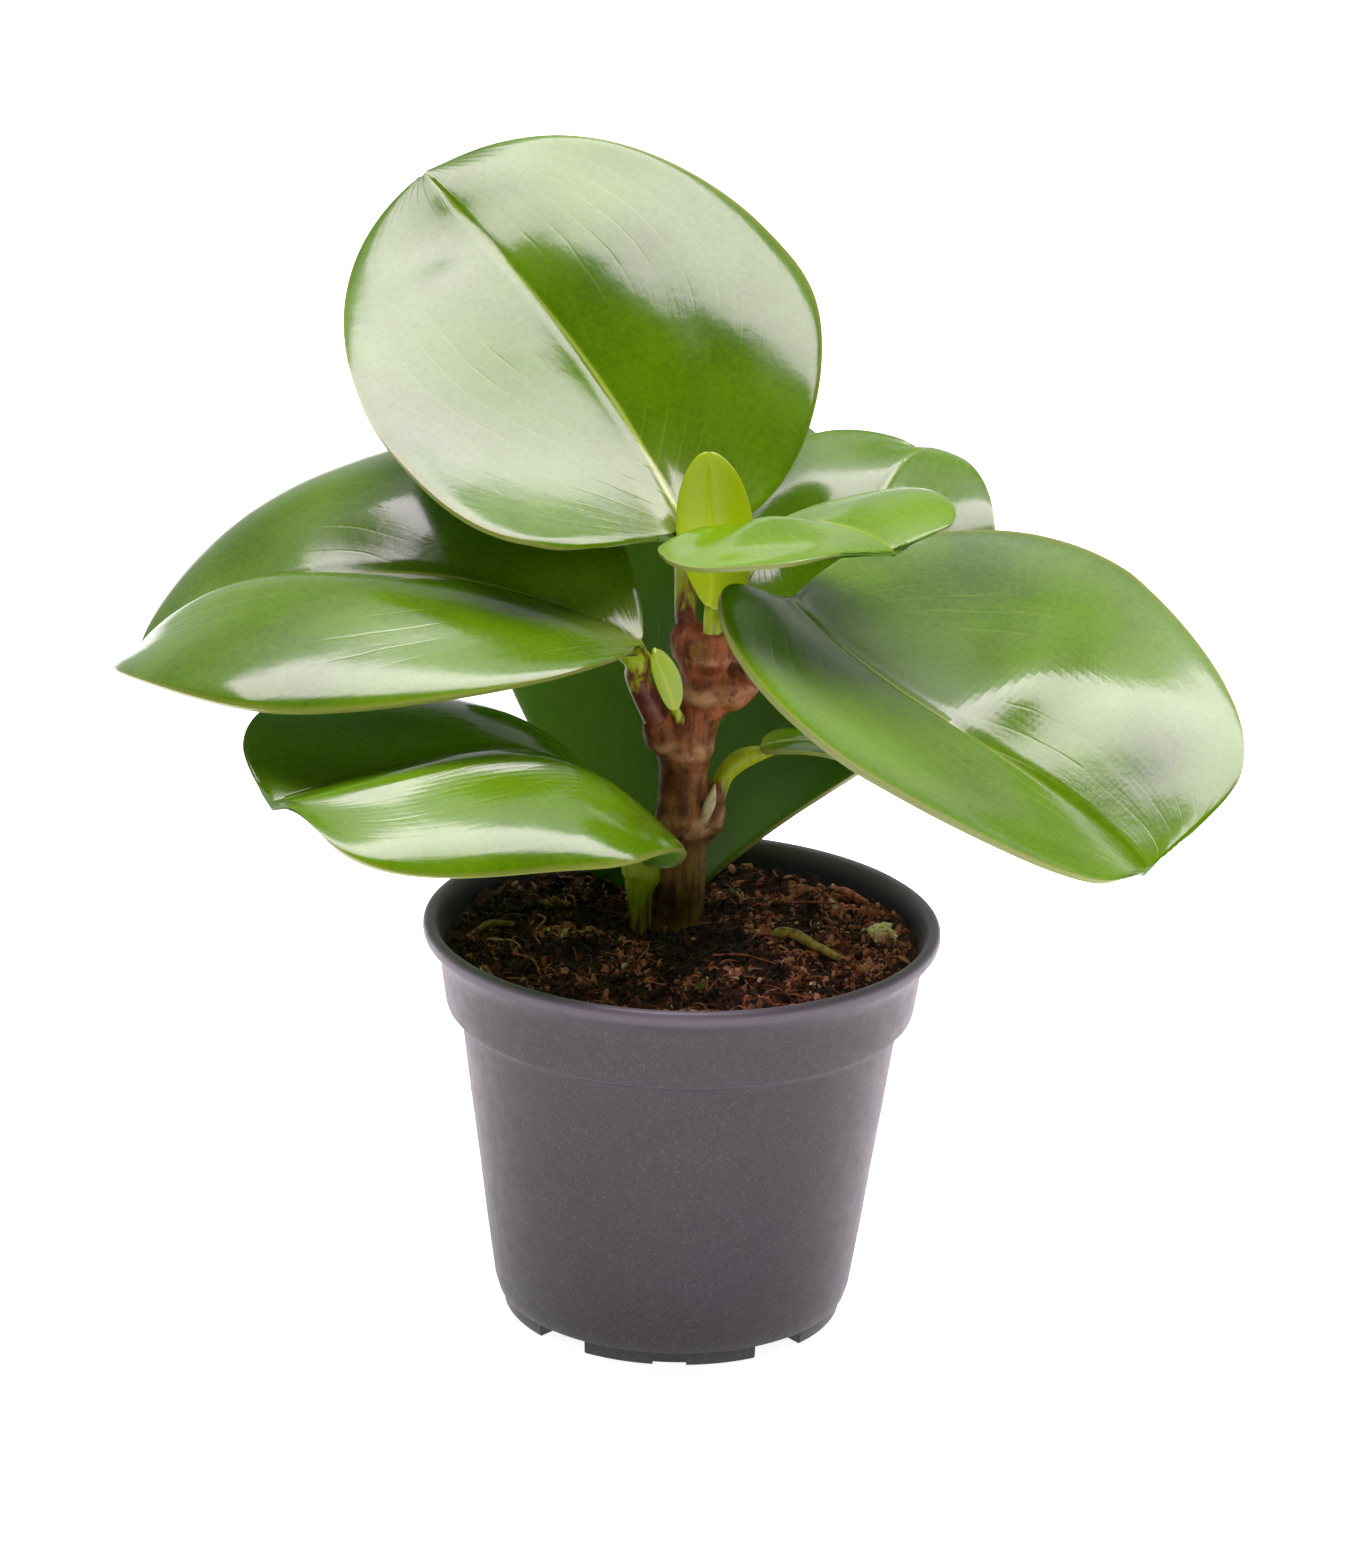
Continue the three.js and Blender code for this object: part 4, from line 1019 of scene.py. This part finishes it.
def tuft(draw):
    """A tiny blade of moss at one of the mossy places."""
    middle_x, middle_y, spread, light = draw.choice(MOSS_SPOTS)
    x, y = draw.gauss(middle_x, spread * 0.55), draw.gauss(middle_y, spread * 0.55)
    size = draw.uniform(0.16, 0.42)
    sizes = (size, size * 0.6, size * draw.uniform(0.6, 1.4))
    turn = any_turn(draw)
    above = 0.35 + size * draw.uniform(0, 0.8)
    return laid(x, y, above, turn, sizes), min(1, max(0, light + draw.uniform(-0.2, 0.2)))


def flake_placer():
    """Gives the flakes their places one by one."""
    flakes = iter(FLAKES)

    def place_one(draw):
        x, y, length, breadth, angle, pale = next(flakes)
        turn = (draw.uniform(-0.3, 0.3), draw.uniform(-0.3, 0.3), math.radians(angle))
        return laid(x, y, 0.45, turn, (length * 0.5, breadth * 0.5, breadth * 0.3)), pale
    return place_one


def rootlets_piece():
    piece = joined("soil_rootlets", [tube("rootlet", points, 24, 2) for points in ROOTLETS])
    return settle(piece, "soil", finish="twig_red")


def soil_material():
    f = Finish("soil")
    colour = f.two_tone(f.patches(420, 5, 0.38, 0.66, rough=0.65), "20110a", "55301e")
    colour = f.tint(colour, "a8624a", f.patches(1300, 4, 0.58, 0.72, rough=0.7))
    normal = f.bump(f.noise(1300, 5, 0.7), 0.5 * MM)
    return f.surface(Base_Color=colour, Roughness=0.85, Normal=normal, IOR=1.4)


def moss_material():
    f = Finish("moss")
    colour = f.two_tone(f.given("shade"), "1e2a12", "8e8a3c")
    colour = f.tint(colour, "1c1a0c", f.patches(1500, 3, 0.4, 0.7, 0, 0.5))
    normal = f.bump(f.noise(3000, 3), 0.1 * MM, 0.8)
    return f.surface(Base_Color=colour, Roughness=0.8, Normal=normal, IOR=1.4)


# Colours of loose soil, from the darkest crumbs to the palest.
CRUMB_COLOURS = (
    (0.0, "1d110b"), (0.3, "3c2015"), (0.55, "6e3b26"), (0.73, "a45d40"), (0.86, "c98262"),
    (0.93, "dda582"), (0.98, "f0d4a8"),
)


def crumb_material():
    f = Finish("crumbs")
    ramp = f.add("ShaderNodeValToRGB", {"Fac": f.given("shade")})
    fill_ramp(ramp.color_ramp, [(shade, paint(code)) for shade, code in CRUMB_COLOURS], "CONSTANT")
    colour = f.tint(ramp.outputs[0], "2e170d", f.patches(1800, 3, 0.35, 0.7, 0, 0.4))
    normal = f.bump(f.noise(3000, 4, 0.7), 0.15 * MM, 0.8)
    return f.surface(Base_Color=colour, Roughness=0.75, Normal=normal, IOR=1.4)


# Larger bits on the soil: the points of each twig with the radius there, and the pale chip's place and
# size.
TWIGS = {
    "twig_green": dict(
        points=((12.2, 1.9, 53.1, 0.45), (13.6, 1.6, 53.5, 0.75), (15.6, 0.4, 53.5, 0.8),
                (18.4, -3.4, 53.4, 0.65), (20.6, -5.9, 53.2, 0.6), (22.5, -7.4, 53.0, 0.3)),
        dark="786a24", light="c0a94e",
    ),
    "twig_tan": dict(
        points=((-28.4, -1, 52.8, 0.35), (-26, 2.2, 53.2, 0.55), (-22.8, 3.6, 52.8, 0.35)),
        dark="6e4e26", light="b08a50",
    ),
    "twig_red": dict(
        points=((20.6, 20.4, 53, 0.5), (23, 17.2, 53.4, 0.75), (26.4, 13, 52.9, 0.45)),
        dark="7a3422", light="c27458",
    ),
}
# How far the twigs' lumps stand out, and the seed of their pattern, which is else taken from the clock.
TWIG_LUMPS = 0.14
TWIG_SEED = 7
CHIP = dict(at=(27.2, 3.6, 53.0), size=(3.5, 2.9, 2.4))


def twig_piece(name):
    noise.seed_set(TWIG_SEED)
    piece = tube(name + "_fine", TWIGS[name]["points"], 30, 4)
    for vertex in piece.data.vertices:
        vertex.co += noise.noise_vector(vertex.co / MM * 0.7) * TWIG_LUMPS * MM
    return settle(piece, "bark", name, finish=name)


def twig_material(name, dark, light):
    f = Finish(name)
    strings = f.noise(1300, 4, 0.6, f.stretched(1, 1, 0.4))
    colour = f.two_tone(f.span(strings, 0.35, 0.65), dark, light)
    colour = f.tint(colour, "2a1a10", f.patches(500, 3, 0.55, 0.7, 0, 0.6))
    return f.surface(Base_Color=colour, Roughness=0.7, Normal=f.bump(strings, 0.2 * MM, 0.8), IOR=1.4)


def chip_piece():
    chip = begun(bpy.ops.mesh.primitive_ico_sphere_add, "chip_pale_fine", subdivisions=4, radius=0.5 * MM)
    for vertex in chip.data.vertices:
        direction = vertex.co.normalized()
        facet = 0.5 + 0.13 * noise.cell(direction * 1.7) + 0.08 * noise.noise(direction * 3.2)
        vertex.co = direction * facet * MM
        vertex.co = Vector(c * s for c, s in zip(vertex.co, CHIP["size"])) + Vector(CHIP["at"]) * MM
    smooth(chip, 50)
    return settle(chip, "chip", "chip_pale", finish="chip")


def chip_material():
    f = Finish("chip")
    colour = f.two_tone(f.patches(700, 4, 0.35, 0.65), "f2d870", "fff6e0")
    colour = f.tint(colour, "8d5a34", f.patches(900, 4, 0.62, 0.7))
    return f.surface(Base_Color=colour, Roughness=0.7, Normal=f.bump(f.noise(900, 4), 0.3 * MM), IOR=1.4)


# Bud: axis points with the radius there.
BUD = ((2.4, 5.6, 67.8, 0.6), (2.9, 5.4, 69.2, 0.8), (3.4, 5.3, 70.8, 0.75), (3.9, 5.3, 73.2, 0.15))


def bud_piece():
    return settle(tube("bud_fine", BUD, 20), "bud", "bud", finish="bud")


def bud_material():
    f = Finish("bud")
    colour = f.two_tone(f.patches(900, 3, 0.35, 0.65), "a58f62", "d0c79a")
    return f.surface(Base_Color=colour, Roughness=0.5, Normal=f.bump(f.noise(2500, 2), 0.05 * MM, 0.6))


# Blades: the deep, the light and the midrib's colour, and the roughness, above and below.
BLADE_COLOURS = {
    "leaf": (("365703", "648e06", "a9b84a", 0.13), ("3f6a14", "5c8a26", "8ea84c", 0.35)),
    "leaf_dark": (("40660f", "5a8222", "86a040", 0.33), ("3c6418", "527c28", "90a868", 0.38)),
    "leaf_new": (("8fac00", "a5bd00", "c4d030", 0.3), ("9fbe10", "b9d030", "d2e04a", 0.4)),
}
MATERIALS = {
    "petiole": petiole_material(),
    "bark": bark_material(),
    "pot": pot_material(),
    "soil": soil_material(),
    "crumbs": crumb_material(),
    "moss": moss_material(),
    "chip": chip_material(),
    "bud": bud_material(),
}
for skin, (above, below) in BLADE_COLOURS.items():
    MATERIALS[skin] = leaf_material(skin, *above)
    MATERIALS[skin + "_under"] = leaf_material(skin + "_under", *below, under=True)
for twig_name, twig in TWIGS.items():
    MATERIALS[twig_name] = twig_material(twig_name, twig["dark"], twig["light"])


# Where the picture is taken from. The focal length is in pixels of the picture.
VIEW_CENTRE = Vector((0, 0, 60)) * MM
VIEW_DISTANCE = 850 * MM
VIEW_HEIGHT = math.radians(20.42)
VIEW_ROLL = math.radians(1.65)
VIEW_PITCH = math.radians(1.01)
FOCAL_PIXELS = 6298.1
PICTURE_HEIGHT = 1555
SENSOR = 36.0


def set_camera():
    back = Vector((0, -math.cos(VIEW_HEIGHT), math.sin(VIEW_HEIGHT)))
    right = Vector((1, 0, 0))
    up = back.cross(right)
    tilt = Matrix((right, up, back)).transposed()
    tilt = tilt @ Matrix.Rotation(VIEW_ROLL, 3, "Z") @ Matrix.Rotation(VIEW_PITCH, 3, "X")
    camera = begun(bpy.ops.object.camera_add, "photo_camera",
                   location=VIEW_CENTRE + back * VIEW_DISTANCE, rotation=tilt.to_euler())
    camera.data.sensor_width = SENSOR
    camera.data.lens = FOCAL_PIXELS * SENSOR / PICTURE_HEIGHT
    camera.data.clip_start = 10 * MM
    bpy.context.scene.camera = camera


# Studio. Places and sizes are in metres. The table glows so that nothing stands in a hard shadow. The
# backdrop's glow is given at the sines of its heights, and FRONT_SHARE of it is left at the front.
FLOOR_SIZE = 6
FLOOR_GLOW = 0.88
FRONT_SHARE = 0.012
BACKDROP_GLOW = ((0.0, 0.6), (0.3, 0.6), (0.45, 0.5), (0.6, 0.5), (0.75, 1.1), (0.85, 2.0), (0.95, 4.0))
BRIGHTEST = 4.0
SOFTBOXES = {
    "softbox_above": dict(place=(0.06, 0.145, 1.0), aim=(0.06, 0.145, 0), size=(1.48, 0.40), glow=9.7,
                          colour="ffeffa"),
    "softbox_front": dict(place=(-0.08, -0.9, 0.64), aim=(0, 0, 0.06), size=(0.45, 0.35), glow=2.8,
                          colour="fffaf6"),
}


def softbox(name, place, aim, size, glow, colour):
    """A square-edged soft light with the glow that a mirror would show of it."""
    facing = (Vector(aim) - Vector(place)).to_track_quat("-Z", "Y").to_euler()
    light = begun(bpy.ops.object.light_add, name, type="AREA", location=place, rotation=facing)
    light.data.shape = "RECTANGLE"
    light.data.size, light.data.size_y = size
    light.data.energy = glow * math.pi * size[0] * size[1]
    light.data.color = paint(colour)[:3]


def glowing_floor():
    floor = begun(bpy.ops.mesh.primitive_plane_add, "floor", size=FLOOR_SIZE)
    f = Finish("floor")
    floor.data.materials.append(f.surface(Base_Color=paint("f4f4f4"), Roughness=0.9,
                                          Emission_Color=(1, 1, 1, 1), Emission_Strength=FLOOR_GLOW))


def pale_backdrop():
    """The surroundings: dark towards the viewer, pale behind and brighter towards the top."""
    world = bpy.data.worlds.new("studio")
    nodes = Nodes(world)
    towards = nodes.add("ShaderNodeTexCoord").outputs["Generated"]
    parts = nodes.add("ShaderNodeSeparateXYZ", {0: towards}).outputs
    rise = nodes.add("ShaderNodeValToRGB", {"Fac": parts["Z"]})
    stops = [(height, (glow / BRIGHTEST,) * 3 + (1,)) for height, glow in BACKDROP_GLOW]
    fill_ramp(rise.color_ramp, stops, "EASE")
    limits = {"Value": parts["Y"], "From Min": -0.1, "From Max": 0.5, "To Min": FRONT_SHARE, "To Max": 1.0}
    behind = nodes.add("ShaderNodeMapRange", limits, interpolation_type="SMOOTHSTEP").outputs[0]
    background = nodes.tree.nodes["Background"]
    nodes.put(background.inputs["Color"], rise.outputs[0])
    nodes.put(background.inputs["Strength"], nodes.sum("MULTIPLY", behind, BRIGHTEST))
    bpy.context.scene.world = world


def set_studio():
    glowing_floor()
    pale_backdrop()
    for name, settings in SOFTBOXES.items():
        softbox(name, **settings)
    bpy.context.scene.view_settings.view_transform = "Standard"


set_camera()
pot_piece()
soil_piece()
scattered("soil_crumbs", crumb_shape(), CRUMBS, crumb, "crumbs")
scattered("soil_fibres", fibre_shape(), FIBRES, fibre, "crumbs")
scattered("soil_moss", crumb_shape(), MOSS_TUFTS, tuft, "moss")
scattered("soil_flakes", crumb_shape(), len(FLAKES), flake_placer(), "crumbs")
rootlets_piece()
for twig_name in TWIGS:
    twig_piece(twig_name)
chip_piece()
stem_piece()
bud_piece()
for leaf_name in LEAVES:
    leaf_piece(leaf_name)
set_studio()

bpy.context.view_layer.update()
